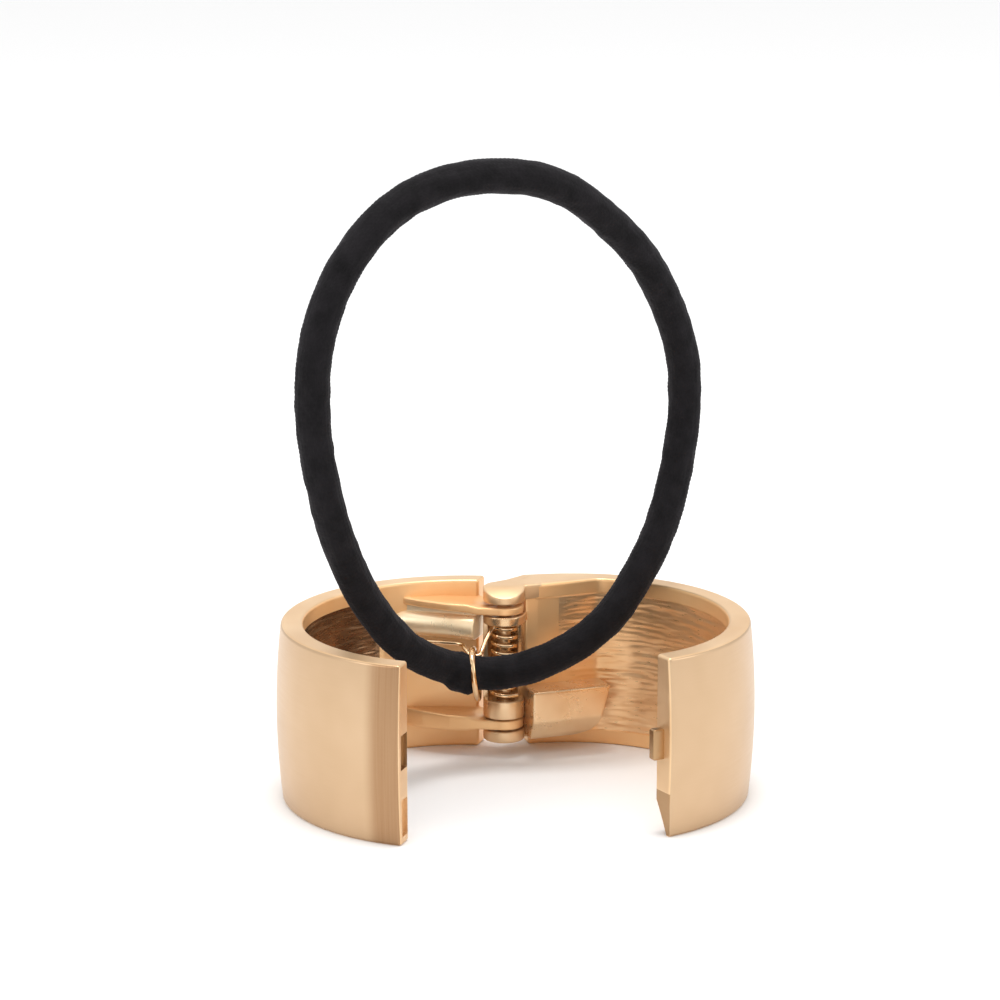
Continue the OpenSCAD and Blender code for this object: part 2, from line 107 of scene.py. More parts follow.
@dataclass(frozen=True)
class CuffSizes:
    """Sizes of the metal parts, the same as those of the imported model."""

    height: float = 20 * MM
    rim_radius: float = 20 * MM
    swell: float = 0.6 * MM
    rim: float = 2.45 * MM
    band: float = 1.7 * MM
    sunk: float = 0.35 * MM
    half_open: float = 23.0
    end_gap: float = 0.25 * MM
    right_gap: float = 0.8 * MM
    end_strip: float = 2.2 * MM
    pin_inset: float = 2.05 * MM
    pin: float = 1.6 * MM
    bore_clear: float = 0.04 * MM
    knuckle: float = 4.8 * MM
    ear: float = 4.5 * MM
    ear_gap: float = 0.2 * MM
    cap: float = 1.75 * MM
    cap_gap: float = 0.4 * MM
    foot_z: float = 1.8 * MM
    foot: float = 1.3 * MM
    upper_ear: float = 0.9 * MM
    upper_ear_rise: float = 0.5 * MM
    lower_ear: float = 1.1 * MM
    lower_ear_rise: float = 0.7 * MM
    lower_ear_drop: float = 0.4 * MM
    upper_knuckle: float = 1.05 * MM
    lower_knuckle: float = 2.1 * MM
    trough_wall: float = 0.55 * MM
    trough_turn: float = 150.0
    back_gap: float = 3.65 * MM
    right_back: float = 13.3
    column_turn: float = 43.0
    column_root: float = 0.3 * MM
    sunk_turn: float = 46.0
    texture_turn: float = 24.0
    cap_front: float = 0.9 * MM
    column_front: float = 0.6 * MM
    arm_reach: float = 11.3 * MM
    arm_front: float = 3.3 * MM
    lug: float = 2.8 * MM
    lug_gap: float = 2.7 * MM
    lug_z: float = 15.3 * MM
    block_length: float = 9.6 * MM
    block_front: float = 4.2 * MM
    block_lean: float = 1.3 * MM
    block_z: float = 2.2 * MM
    block_top: float = 8.0 * MM
    block_bevel: float = 2.2 * MM
    block_bevel_in: float = 0.9 * MM
    tab_length: float = 1.3 * MM
    tab_height: float = 3.4 * MM
    tab_z: float = 8.6 * MM
    tab_thickness: float = 1.15 * MM
    tab_inset: float = 0.5 * MM
    catch_clear: float = 0.2 * MM
    corner_height: float = 5.1 * MM
    corner_length: float = 4.0 * MM
    seat_depth: float = 0.5 * MM
    seat_height: float = 4.1 * MM
    seat_z: float = 0.9 * MM

    @property
    def inner_radius(self) -> float:
        """Radius of the rims' inner face."""
        return self.rim_radius - self.rim

    @property
    def sunk_radius(self) -> float:
        """Radius of the sunk cast face."""
        return self.inner_radius + self.sunk

    @property
    def side_radius(self) -> float:
        """Radius of the swollen outside at half height."""
        return self.rim_radius + self.swell

    @property
    def to_middle(self) -> float:
        """Distance from the pin's axis to the middle of the closed barrel."""
        return self.inner_radius - self.pin_inset

    @property
    def end_turn(self) -> float:
        """Angle that the left front end stops short of the middle."""
        return turn_of(self.end_gap, self.rim_radius)

    @property
    def right_turn(self) -> float:
        """Angle that the right front end stops short of the middle."""
        return turn_of(self.right_gap, self.rim_radius)

    @property
    def strip_turn(self) -> float:
        """Width of the plain strip beside a front end, as an angle."""
        return turn_of(self.end_strip, self.inner_radius)

    @property
    def pin_y(self) -> float:
        """Place of the pin, halfway between the open cuff's reach in front of it and behind it.

        In front it reaches the turned corner of a front end, and behind it the turned half's outside.

        Returns:
            The pin's distance along Y.
        """
        turn = np.radians(self.half_open)
        end = np.radians(self.end_turn)
        front = (self.to_middle + self.side_radius * np.cos(end)) * np.cos(turn)
        front -= self.side_radius * np.sin(end) * np.sin(turn)
        back = self.side_radius - self.to_middle * np.cos(turn)
        return float((front - back) / 2)

    @property
    def cap_z(self) -> float:
        """Height of the cap's underside."""
        return self.height - self.cap

    @property
    def upper_ear_z(self) -> float:
        """Height of the upper ear's underside."""
        return self.cap_z - self.cap_gap - self.upper_ear

    @property
    def upper_knuckle_z(self) -> float:
        """Height of the upper knuckle's underside."""
        return self.upper_ear_z - self.ear_gap - self.upper_knuckle

    @property
    def lower_ear_z(self) -> float:
        """Height of the lower ear's underside at the pin."""
        return self.foot_z + self.foot + self.ear_gap

    @property
    def lower_knuckle_z(self) -> float:
        """Height of the lower knuckle's underside."""
        return self.lower_ear_z + self.lower_ear + self.ear_gap

    @property
    def lower_knuckle_top(self) -> float:
        """Height of the lower knuckle's top."""
        return self.lower_knuckle_z + self.lower_knuckle

    def on_barrel(self, radius: float, angle: float) -> Points:
        """The closed barrel's point (radius sin angle, radius cos angle - to_middle), 0 at the back."""
        a = np.radians(angle)
        return np.array([radius * np.sin(a), radius * np.cos(a) - self.to_middle])

    def column_radius(self, angle: Points, face: Points) -> Points:
        """Distance from the barrel's middle to the straight inner face beside the hinge.

        The face is the line from the knuckle's side to the column's end in the wall. Its distance in a
        direction u is the product of the line's normal and its start, over that of the normal and u.

        Args:
            angle: directions from the back towards the right.
            face: how far in front of the pin the line starts.

        Returns:
            The distance in each direction.
        """
        a = np.radians(angle)
        end = self.on_barrel(self.sunk_radius + self.column_root, self.column_turn)
        x, y = self.knuckle / 2, self.to_middle - face
        along_x, along_y = end[0] - x, end[1] + self.to_middle - y
        reach = along_y * x - along_x * y
        return reach / np.minimum(along_y * np.sin(a) - along_x * np.cos(a), -TINY)

    def opened(self, points: Points, turn: float) -> Points:
        """Turns points about the pin and moves them to the pin's place.

        Args:
            points: points of the closed half, one a row.
            turn: angle about the pin, anticlockwise from above.

        Returns:
            The points in the shared frame.
        """
        a = np.radians(turn)
        turned = points @ np.array([[np.cos(a), np.sin(a), 0], [-np.sin(a), np.cos(a), 0], [0, 0, 1]])
        return turned + np.array([0, self.pin_y, 0])

    def rooted(self, points: Points, radius: float) -> Points:
        """Draws points that reach further than a radius from the barrel's middle back to it.

        Args:
            points: points of the closed half, one a row.
            radius: largest distance from the barrel's middle in plan.

        Returns:
            The points, each scaled in plan by radius over its distance where it lay further out.
        """
        plan = points[:, :2] + np.array([0, self.to_middle])
        away = np.linalg.norm(plan, axis=1)
        kept = plan * np.minimum(1, radius / np.maximum(away, TINY))[:, None]
        return np.column_stack([kept - np.array([0, self.to_middle]), points[:, 2]])


CUFF = CuffSizes()


# ----------------------------------------
# Surfaces on grids


def smoothstep(x: Points, low: float, high: float) -> Points:
    """Smooth rise from 0 at low to 1 at high: t squared times (3 - 2 t)."""
    t = np.clip((x - low) / (high - low), 0, 1)
    return t * t * (3 - 2 * t)


def unit(rows: Points) -> Points:
    """Each row scaled to length one."""
    return rows / np.linalg.norm(rows, axis=1)[:, None]


def level(turn: float) -> Points:
    """The level direction at an angle from X, anticlockwise from above."""
    return np.array([np.cos(np.radians(turn)), np.sin(np.radians(turn)), 0])


def at_height(plan: Points, z: float) -> Points:
    """Points in plan, all set at one height."""
    return np.column_stack([plan, np.full(len(plan), z)])


def lowered(points: Points, drop: Points) -> Points:
    """Points moved down, each by its own drop."""
    return points - drop[:, None] * np.array([0, 0, 1])


def run_along(line: Points) -> Points:
    """Distance along a line at each of its points."""
    return np.concatenate([[0], np.cumsum(np.linalg.norm(np.diff(line, axis=0), axis=1))])


def loop_length(loop: Points) -> float:
    """Length of a closed line whose first point isn't repeated."""
    return float(np.linalg.norm(np.roll(loop, -1, 0) - loop, axis=1).sum())


def grid_quads(rows: int, columns: int, close_rows: bool) -> Points:
    """Quads of a grid of points that are stored row after row, each row a closed ring.

    Args:
        rows: number of rows.
        columns: number of points in a row.
        close_rows: whether the last row joins the first.

    Returns:
        One quad a row: a point, its right neighbour, and the two above them, turning anticlockwise.
    """
    i = np.arange(rows if close_rows else rows - 1)[:, None]
    j = np.arange(columns)[None, :]
    above, right = (i + 1) % rows, (j + 1) % columns
    corners = [i * columns + j, i * columns + right, above * columns + right, above * columns + j]
    return np.stack(corners, -1).reshape(-1, 4)


def capped_grid(rows: int, columns: int) -> list[Points]:
    """Faces of a grid of rings whose two ends close on two points, stored after the grid.

    Args:
        rows: number of rings.
        columns: number of points in a ring.

    Returns:
        The grid's quads, and the triangles at its first end and at its last one.
    """
    j = np.arange(columns)
    after, tip, last = (j + 1) % columns, np.full(columns, rows * columns), (rows - 1) * columns
    first_fan = np.stack([after, j, tip], -1)
    last_fan = np.stack([tip + 1, last + j, last + after], -1)
    return [grid_quads(rows, columns, False), first_fan, last_fan]


def resample(outline: Points, step: float) -> Points:
    """A closed outline with points no further apart than a step, its own corners among them.

    Args:
        outline: corners in order.
        step: largest distance between neighbours.

    Returns:
        The corners and evenly spaced points between them, by their distance along the outline.
    """
    loop = np.vstack([outline, outline[:1]])
    run = run_along(loop)
    even = np.linspace(0, run[-1], int(np.ceil(run[-1] / step)) + 1)
    keep = np.abs(even[:, None] - run[None, :]).min(1) > step * NEAR
    at = np.sort(np.concatenate([run[:-1], even[keep]]))
    return np.column_stack([np.interp(at, run, loop[:, 0]), np.interp(at, run, loop[:, 1])])


def soften(outline: Points, radius: float, steps: int = 5) -> Points:
    """A closed outline with its corners rounded.

    Each corner becomes a parabolic arc between a point before it and one after it, which lie a radius away
    or, on a short side, at CORNER_SHARE of the side.

    Args:
        outline: corners in order.
        radius: distance from the corner at which the arc starts.
        steps: parts of each arc.

    Returns:
        The rounded outline.
    """
    before, after = np.roll(outline, 1, 0) - outline, np.roll(outline, -1, 0) - outline
    before_l, after_l = np.linalg.norm(before, axis=1), np.linalg.norm(after, axis=1)
    reach = np.minimum(radius, CORNER_SHARE * np.minimum(before_l, after_l))[:, None]
    start = outline + before / before_l[:, None] * reach
    finish = outline + after / after_l[:, None] * reach
    t = np.linspace(0, 1, steps + 1)[None, :, None]
    arcs = (1 - t) ** 2 * start[:, None] + 2 * t * (1 - t) * outline[:, None] + t**2 * finish[:, None]
    points = arcs.reshape(-1, 2)
    apart = np.linalg.norm(points - np.roll(points, 1, 0), axis=1) > SAME
    return points[apart]


def rounded(corners: list[Points | list], radius: float, step: float = 0.5 * MM) -> Points:
    """A closed outline through lines of corners, with points a step apart and its corners rounded."""
    return soften(resample(np.vstack(corners), step), radius, 3)


def inset(outline: Points, depth: float) -> Points:
    """An anticlockwise outline moved inwards.

    Each point moves against the sum of its two sides' outward normals, divided by one plus their product,
    which keeps the sides parallel.

    Args:
        outline: points in order.
        depth: distance to move each side.

    Returns:
        The inset outline.
    """
    side = unit(np.roll(outline, -1, 0) - outline)
    normal = np.column_stack([side[:, 1], -side[:, 0]])
    other = np.roll(normal, 1, 0)
    share = (normal + other) / np.maximum(1 + np.sum(normal * other, 1), 0.3)[:, None]
    return outline - depth * share


def arc(radius: float, start: float, finish: float, count: int) -> Points:
    """Points (radius cos angle, radius sin angle) on a circle, from one angle to another."""
    a = np.radians(np.linspace(start, finish, count))
    return np.column_stack([radius * np.cos(a), radius * np.sin(a)])


@dataclass
class Surface:
    """A closed surface: its points, its faces, and what is stored on them."""

    points: Points
    faces: list[Points]
    finishes: list[int] = field(default_factory=list)
    flat_map: Points | None = None

    def moved(self, points: Points) -> "Surface":
        """The same surface with other points."""
        return Surface(points, self.faces, self.finishes, self.flat_map)

    def to_object(
        self, name: str, materials: list[bpy.types.Material], crease: float = 50
    ) -> bpy.types.Object:
        """Makes the Blender object.

        Args:
            name: the object's name.
            materials: materials that the finishes count from.
            crease: angle between faces past which an edge stays sharp.

        Returns:
            The object, smooth shaded, at the origin.
        """
        mesh = bpy.data.meshes.new(name)
        rows = [row for block in self.faces for row in block.tolist()]
        mesh.from_pydata(self.points.tolist(), [], rows)
        for material in materials:
            mesh.materials.append(material)
        if self.finishes:
            counts = [len(block) for block in self.faces]
            mesh.polygons.foreach_set("material_index", np.repeat(self.finishes, counts))
        if self.flat_map is not None:
            corner = np.zeros(len(mesh.loops), np.int32)
            mesh.loops.foreach_get("vertex_index", corner)
            layer = mesh.uv_layers.new(name="along")
            layer.data.foreach_set("uv", self.flat_map[corner].ravel())
        mesh.polygons.foreach_set("use_smooth", np.ones(len(mesh.polygons), bool))
        mesh.update()
        mesh.set_sharp_from_angle(angle=float(np.radians(crease)))
        piece = bpy.data.objects.new(name, mesh)
        bpy.context.collection.objects.link(piece)
        return piece


def rounded_levels(low: float, high: float, rounding: float, steps: int = 4) -> Points:
    """Insets and heights of the loops up the side of a prism with rounded edges.

    An edge is a quarter circle: inset r (1 - sin a) at height r (1 - cos a), for a from 0 to 90 degrees.

    Args:
        low: height of the underside.
        high: height of the top.
        rounding: radius of the edges.
        steps: parts of each quarter circle.

    Returns:
        One pair (inset, height) a row, from the underside to the top, with one more loop on each flat face.
    """
    a = np.linspace(0, np.pi / 2, steps + 1)
    depth, rise = rounding * (1 - np.sin(a)), rounding * (1 - np.cos(a))
    below = np.column_stack([depth, low + rise])
    above = np.column_stack([depth, high - rise])[::-1]
    support = rounding * 1.25
    return np.vstack([[support, low], below, above, [support, high]])


def prism(outline: Points, low: float, high: float, rounding: float) -> Surface:
    """A prism with rounded edges, standing on an anticlockwise outline.

    Args:
        outline: points in plan.
        low: height of the underside.
        high: height of the top.
        rounding: radius of the edges.

    Returns:
        The surface: loops of the outline, each inset and raised, and two flat faces.
    """
    loops = [at_height(inset(outline, d), z) for d, z in rounded_levels(low, high, rounding)]
    one = np.arange(len(outline))[None, :]
    last = (len(loops) - 1) * len(outline)
    return Surface(np.vstack(loops), [grid_quads(len(loops), len(outline), False), one[:, ::-1], last + one])


def bored_prism(
    outline: Points,
    low: float,
    high: float,
    rounding: float,
    bore: float,
    bore_end: float | None = None,
    top_loops: int = 0,
) -> Surface:
    """A rounded prism with a round bore on the Z axis. Each outline point is seen from the axis.

    The surface is one grid: the bore's points lie in the same directions as the outline's.

    Args:
        outline: anticlockwise points in plan, round the origin.
        low: height of the underside.
        high: height of the top.
        rounding: radius of the outer edges.
        bore: the bore's radius.
        bore_end: height where a blind bore ends, or None where it goes through.
        top_loops: number of loops added on a blind piece's top, between its edge and its middle.

    Returns:
        The closed surface.
    """
    count, away = len(outline), unit(outline)
    sides = [at_height(inset(outline, d), z) for d, z in rounded_levels(low, high, rounding)]

    def ring(radius: float, z: float) -> Points:
        """A loop of the bore."""
        return at_height(away * radius, z)

    start = [ring(bore, low + BORE_EDGE), ring(bore + BORE_EDGE, low)]
    if bore_end is None:
        loops = [*start, *sides, ring(bore + BORE_EDGE, high), ring(bore, high - BORE_EDGE)]
        return Surface(np.vstack(loops), [grid_quads(len(loops), count, True)])
    share = np.linspace(0, 1, top_loops + 2)[1:-1]
    top = [(1 - t) * sides[-1] + t * ring(bore, high) for t in share]
    loops = [ring(bore, bore_end), *start, *sides, *top, ring(bore, high)]
    return Surface(np.vstack([*loops, [[0, 0, bore_end], [0, 0, high]]]), capped_grid(len(loops), count))


def catmull_rom(route: Points, steps: int, closed: bool) -> Points:
    """A smooth curve through points, by the Catmull-Rom rule.

    Between b and c, with a before and d after, it is b + (c - a) t/2 + (2a - 5b + 4c - d) t t/2
    + (3b - a - 3c + d) t t t/2.

    Args:
        route: points to pass through.
        steps: parts between two points.
        closed: whether the curve joins up.

    Returns:
        Points on the curve; an open curve keeps its last point.
    """
    t = (np.arange(steps) / steps)[None, :, None]
    if closed:
        a, b, c, d = (np.roll(route, k, 0)[:, None] for k in (1, 0, -1, -2))
    else:
        padded = np.vstack([2 * route[0] - route[1], route, 2 * route[-1] - route[-2]])
        a, b, c, d = (padded[k : k + len(route) - 1][:, None] for k in range(4))
    curve = b + (c - a) * t / 2 + (2 * a - 5 * b + 4 * c - d) * t**2 / 2 + (3 * b - a - 3 * c + d) * t**3 / 2
    curve = curve.reshape(-1, 3)
    return curve if closed else np.vstack([curve, route[-1:]])


def evenly(loop: Points, count: int) -> Points:
    """Points at equal distances along a closed line whose first point isn't repeated.

    Args:
        loop: points of the line.
        count: number of points wanted.

    Returns:
        The points, from the line's first one on.
    """
    line = np.vstack([loop, loop[:1]])
    run = run_along(line)
    at = np.linspace(0, run[-1], count + 1)[:-1]
    return np.column_stack([np.interp(at, run, line[:, k]) for k in range(3)])


def tube(path: Points, radius: Points, hint: Points, closed: bool) -> Surface:
    """A tube along a path.

    At each point the ring lies across the path: side is direction x hint, up is direction x side, and the
    ring is radius times (cos a side + sin a up).

    Args:
        path: centreline, one point a row.
        radius: radius of each ring at each of its points, rings by sides.
        hint: a direction that the path never runs along.
        closed: whether the path joins up.

    Returns:
        The surface; an open tube has domed ends that close on one point.
    """
    count, sides = radius.shape
    if closed:
        heading = np.roll(path, -1, 0) - np.roll(path, 1, 0)
    else:
        heading = np.gradient(path, axis=0)
    heading = unit(heading)
    side = unit(np.cross(heading, hint))
    up = np.cross(heading, side)
    a = np.arange(sides) * 2 * np.pi / sides
    round_it = np.cos(a)[None, :, None] * side[:, None] + np.sin(a)[None, :, None] * up[:, None]
    points = (path[:, None] + radius[..., None] * round_it).reshape(-1, 3)
    if closed:
        return Surface(points, [grid_quads(count, sides, True)])
    dome = DOME * radius.mean(1)
    ends = [path[0] - heading[0] * dome[0], path[-1] + heading[-1] * dome[-1]]
    return Surface(np.vstack([points, ends]), capped_grid(count, sides))


def box_lattice(shape: tuple[int, int, int]) -> tuple[Points, dict[str, Points]]:
    """The outside of a box of lattice points, with one shared point at each edge.

    Args:
        shape: number of lattice lines along, across and up.

    Returns:
        The lattice places of the points, and the quads of each face by name, all facing out.
    """
    surface = np.zeros(shape, bool)
    surface[[0, -1]] = surface[:, [0, -1]] = surface[:, :, [0, -1]] = True
    index = np.full(shape, -1)
    index[surface] = np.arange(surface.sum())

    def sheet(grid: Points, flip: bool) -> Points:
        """Quads of one face of the box."""
        quads = np.stack([grid[:-1, :-1], grid[1:, :-1], grid[1:, 1:], grid[:-1, 1:]], -1).reshape(-1, 4)
        return quads[:, ::-1] if flip else quads

    faces = {
        "start": sheet(index[0], True),
        "finish": sheet(index[-1], False),
        "inner": sheet(index[:, 0], False),
        "outer": sheet(index[:, -1], True),
        "bottom": sheet(index[:, :, 0], True),
        "top": sheet(index[:, :, -1], False),
    }
    return np.argwhere(surface), faces


def margin_lines(low: float, high: float, rounding: float, step: float, extra: list[float]) -> Points:
    """Lattice lines across a box with rounded edges.

    In a rounded margin a line lies at r (1 - tan a), for even angles a from 45 degrees to 0, so that the
    rounding gets even facets.

    Args:
        low: lowest value.
        high: highest value.
        rounding: radius of the edges.
        step: distance between the lines in the middle.
        extra: further lines.

    Returns:
        The lines in order.
    """
    margin = rounding * (1 - np.tan(np.radians(np.linspace(45, 0, 5))))
    middle = np.linspace(low + rounding, high - rounding, max(2, int((high - low) / step)))
    extra_lines = np.array(extra, float)
    near_extra = np.zeros(len(middle), bool)
    if len(extra_lines):
        near_extra = np.abs(middle[:, None] - extra_lines[None, :]).min(1) < step * NEAR
        near_extra[[0, -1]] = False
    lines = np.sort(np.concatenate([low + margin, middle[~near_extra], high - margin, extra_lines]))
    return lines[np.concatenate([[True], np.diff(lines) > SAME])]


def round_edges(points: Points, low: Points, high: Points, rounding: float) -> Points:
    """Rounds the edges of a box's surface, between its lowest and its highest corner.

    Each point p is drawn onto a ball round the nearest point q of the box shrunk by the radius:
    q + radius (p - q) / |p - q|.
    """
    core = np.clip(points, low + rounding, high - rounding)
    return core + rounding * unit(points - core)


def streaks(shape: tuple[int, int], steps: Pair, lengths: Pair, seed: int) -> Points:
    """Smoothed noise that is longer one way than the other.

    White noise is multiplied, in its frequencies, by a bell curve whose spread is one over each length, and
    is then scaled to a spread of one.

    Args:
        shape: rows and columns.
        steps: distance between rows and between columns.
        lengths: size of the marks along the rows' direction and along the columns'.
        seed: start of the noise.

    Returns:
        The noise.
    """
    noise = np.random.default_rng(seed).standard_normal(shape)
    fx = np.fft.fftfreq(shape[0], steps[0])[:, None]
    fy = np.fft.fftfreq(shape[1], steps[1])[None, :]
    bell = np.exp(-2 * np.pi**2 * ((fx * lengths[0]) ** 2 + (fy * lengths[1]) ** 2))
    smooth = np.fft.ifft2(np.fft.fft2(noise) * bell).real
    return smooth / smooth.std()


# ----------------------------------------
# Finishes


class Sketch:
    """A new material, to which nodes are added."""

    def __init__(self, name: str) -> None:
        """Starts the material, with a node for the places on its object."""
        self.material = bpy.data.materials.new(name)
        self.material.use_nodes = True
        self.tree = self.material.node_tree
        self.tree.nodes.clear()
        self.place = self.node("ShaderNodeTexCoord")

    def node(self, kind: str, **values: object) -> bpy.types.Node:
        """Adds a node.

        Args:
            kind: the node's type name.
            values: its properties by name, and what its inputs take by name, with _ for a space: a value,
                or another node's output, which is joined to it.

        Returns:
            The node.
        """
        made = self.tree.nodes.new(kind)
        for name, value in values.items():
            if hasattr(made, name):
                setattr(made, name, value)
            else:
                self.feed(made.inputs[name.replace("_", " ")], value)
        return made

    def feed(self, target: Socket, value: object) -> None:
        """Joins an output to an input, or sets the input to a value."""
        if isinstance(value, Socket):
            self.tree.links.new(value, target)
        else:
            target.default_value = value

    def shaded(self, **values: object) -> bpy.types.Material:
        """Adds the shader, with what its inputs take by name, and gives back the finished material."""
        shader = self.node("ShaderNodeBsdfPrincipled", **values)
        self.node("ShaderNodeOutputMaterial", Surface=shader.outputs["BSDF"])
        return self.material

    def noise(self, where: Socket, scale: Triple, detail: float) -> Socket:
        """Noise with its own scale along each axis.

        Args:
            where: the coordinates.
            scale: marks in a metre along X, Y and Z.
            detail: how many finer layers are added.

        Returns:
            The noise's value.
        """
        place = self.node("ShaderNodeMapping", Vector=where, Scale=scale).outputs["Vector"]
        texture = self.node("ShaderNodeTexNoise", Vector=place, Scale=1.0, Detail=detail, Roughness=0.55)
        return texture.outputs["Fac"]

    def between(self, value: Socket, low: float, high: float) -> Socket:
        """Turns a noise value, which lies mostly from 0.3 to 0.7, into one from low to high."""
        noise = {"Value": value, "From_Min": 0.3, "From_Max": 0.7}
        return self.node("ShaderNodeMapRange", **noise, To_Min=low, To_Max=high).outputs["Result"]

    def mix(self, share: Socket, *colours: Triple | Socket) -> Socket:
        """Mixes two colours: (1 - share) first + share second.

        Args:
            share: how much there is of the second.
            colours: the two, each given or made by other nodes.

        Returns:
            The mixed colour.
        """
        made = self.node("ShaderNodeMix", data_type="RGBA")
        self.feed(made.inputs[MIX_SHARE], share)
        for place, colour in zip(MIX_COLOURS, colours):
            self.feed(made.inputs[place], (*colour, 1) if isinstance(colour, tuple) else colour)
        return made.outputs[MIX_RESULT]

    def bump(self, height: Socket, distance: float, strength: float, **under: Socket) -> Socket:
        """A bump from a height, over another bump where one is given as Normal."""
        made = self.node("ShaderNodeBump", Height=height, Distance=distance, Strength=strength, **under)
        return made.outputs["Normal"]


@dataclass(frozen=True)
class GoldFinish:
    """A gold plated metal: its colours, its gloss, the marks of its making, and where asked a painted dark
    reflection beside a wall's end.

    Strokes and waver are given in marks in a metre, and their depths in metres.
    """

    name: str
    dark: Triple = (0.74, 0.49, 0.27)
    light: Triple = (0.86, 0.62, 0.38)
    metallic: float = 1.0
    roughness: Pair = (0.12, 0.2)
    stroke: Triple = (300.0, 300.0, 300.0)
    stroke_depth: float = 0.01 * MM
    stroke_strength: float = 0.3
    waver: float = 120.0
    waver_depth: float = 0.04 * MM
    waver_strength: float = 0.12
    on_map: bool = False
    # The end zone, its colour, its strokes and its share paint a dark reflection beside the wall's end.
    painted_reflection_zone: Pair | None = None
    painted_reflection_colour: Triple = (0.38, 0.22, 0.115)
    painted_reflection_stroke: Triple = (5000.0, 60.0, 1.0)
    painted_reflection_share: float = 0.8

    def material(self) -> bpy.types.Material:
        """Builds the material: streaked noise for the strokes, broad noise for the waver of cast metal.

        Where there is an end zone, a painted dark reflection darkens the colour beside the wall's end, from
        one distance along the wall to the other, with strokes that run up the wall.

        Returns:
            The material.
        """
        sketch = Sketch(self.name)
        where = sketch.place.outputs["UV" if self.on_map else "Object"]
        strokes = sketch.noise(where, self.stroke, 4)
        broad = sketch.noise(sketch.place.outputs["Object"], (self.waver,) * 3, 2)
        colour = sketch.mix(sketch.between(broad, 0, 1), self.dark, self.light)
        # Painted reflection: a darker band beside the wall's end.
        if self.painted_reflection_zone:
            colour = self.paint_dark_reflection(sketch, where, colour)
        gloss = sketch.between(strokes, *self.roughness)
        wave = sketch.bump(broad, self.waver_depth, self.waver_strength)
        fine = sketch.bump(strokes, self.stroke_depth, self.stroke_strength, Normal=wave)
        return sketch.shaded(Metallic=self.metallic, Base_Color=colour, Roughness=gloss, Normal=fine)

    def paint_dark_reflection(self, sketch: Sketch, where: Socket, colour: Socket) -> Socket:
        """Paints a dark reflection beside the wall's end, uneven from stroke to stroke.

        Args:
            sketch: the material's nodes.
            where: the wall's own map, with the distance along it as X.
            colour: the colour elsewhere.

        Returns:
            The colour, mixed by a smooth step over the zone.
        """
        along = sketch.node("ShaderNodeSeparateXYZ", Vector=where).outputs["X"]
        zone = {"Value": along, "From_Min": self.painted_reflection_zone[0], "From_Max": self.painted_reflection_zone[1]}
        step = sketch.node("ShaderNodeMapRange", interpolation_type="SMOOTHSTEP", **zone)
        strokes = sketch.noise(where, self.painted_reflection_stroke, 2)
        share = self.painted_reflection_share
        pale = tuple(share * a + (1 - share) * b for a, b in zip(self.painted_reflection_colour, self.dark))
        dark = sketch.mix(sketch.between(strokes, 0, 1), self.painted_reflection_colour, pale)
        return sketch.mix(step.outputs["Result"], dark, colour)


@dataclass(frozen=True)
class KnitFinish:
    """The black yarn of the elastic, with the soft grey sheen of its fibres."""

    name: str
    dark: Triple = (0.004, 0.0035, 0.004)
    light: Triple = (0.011, 0.0095, 0.011)
    roughness: Pair = (0.72, 0.95)
    fibre: Triple = (9000.0, 1800.0, 1.0)
    fibre_depth: float = 0.05 * MM
    patch: float = 420.0
    sheen: Triple = (0.75, 0.72, 0.78)

    def material(self) -> bpy.types.Material:
        """Builds the material: fibre noise along the yarn, and patches of two shades.

        Returns:
            The material.
        """
        sketch = Sketch(self.name)
        fibre = sketch.noise(sketch.place.outputs["UV"], self.fibre, 4)
        patch = sketch.noise(sketch.place.outputs["Object"], (self.patch,) * 3, 3)
        colour = sketch.mix(sketch.between(patch, 0, 1), self.dark, self.light)
        return sketch.shaded(
            Base_Color=colour,
            Roughness=sketch.between(fibre, *self.roughness),
            Normal=sketch.bump(fibre, self.fibre_depth, 0.5),
            Specular_IOR_Level=0.15,
            Sheen_Weight=0.1,
            Sheen_Roughness=0.45,
            Sheen_Tint=(*self.sheen, 1),
        )


# ----------------------------------------
# The two halves


@dataclass
class Casting:
    """What the pieces of a half share: their side, the finishes by name, and how they are handed over."""

    side: Side
    finishes: dict[str, bpy.types.Material]
    sizes: CuffSizes = CUFF
    rounding: float = 0.22 * MM
    root: float = 1.2 * MM

    def hand_over(
        self, surface: Surface, name: str, *finishes: str, rooted: bool = False, crease: float = 50
    ) -> bpy.types.Object:
        """Turns a piece of the closed half to its open place and gives it to the half's body.

        Args:
            surface: the piece, closed.
            name: its name.
            finishes: names of its finishes.
            rooted: whether it is drawn back to the depth of root behind the sunk face.
            crease: angle between faces past which an edge stays sharp.

        Returns:
            The object.
        """
        s = self.sizes
        points = s.rooted(surface.points, s.sunk_radius + self.root) if rooted else surface.points
        points = s.opened(points, self.side.value * s.half_open)
        piece = surface.moved(points).to_object(name, [self.finishes[n] for n in finishes], crease)
        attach(piece, self.side.body)
        return piece


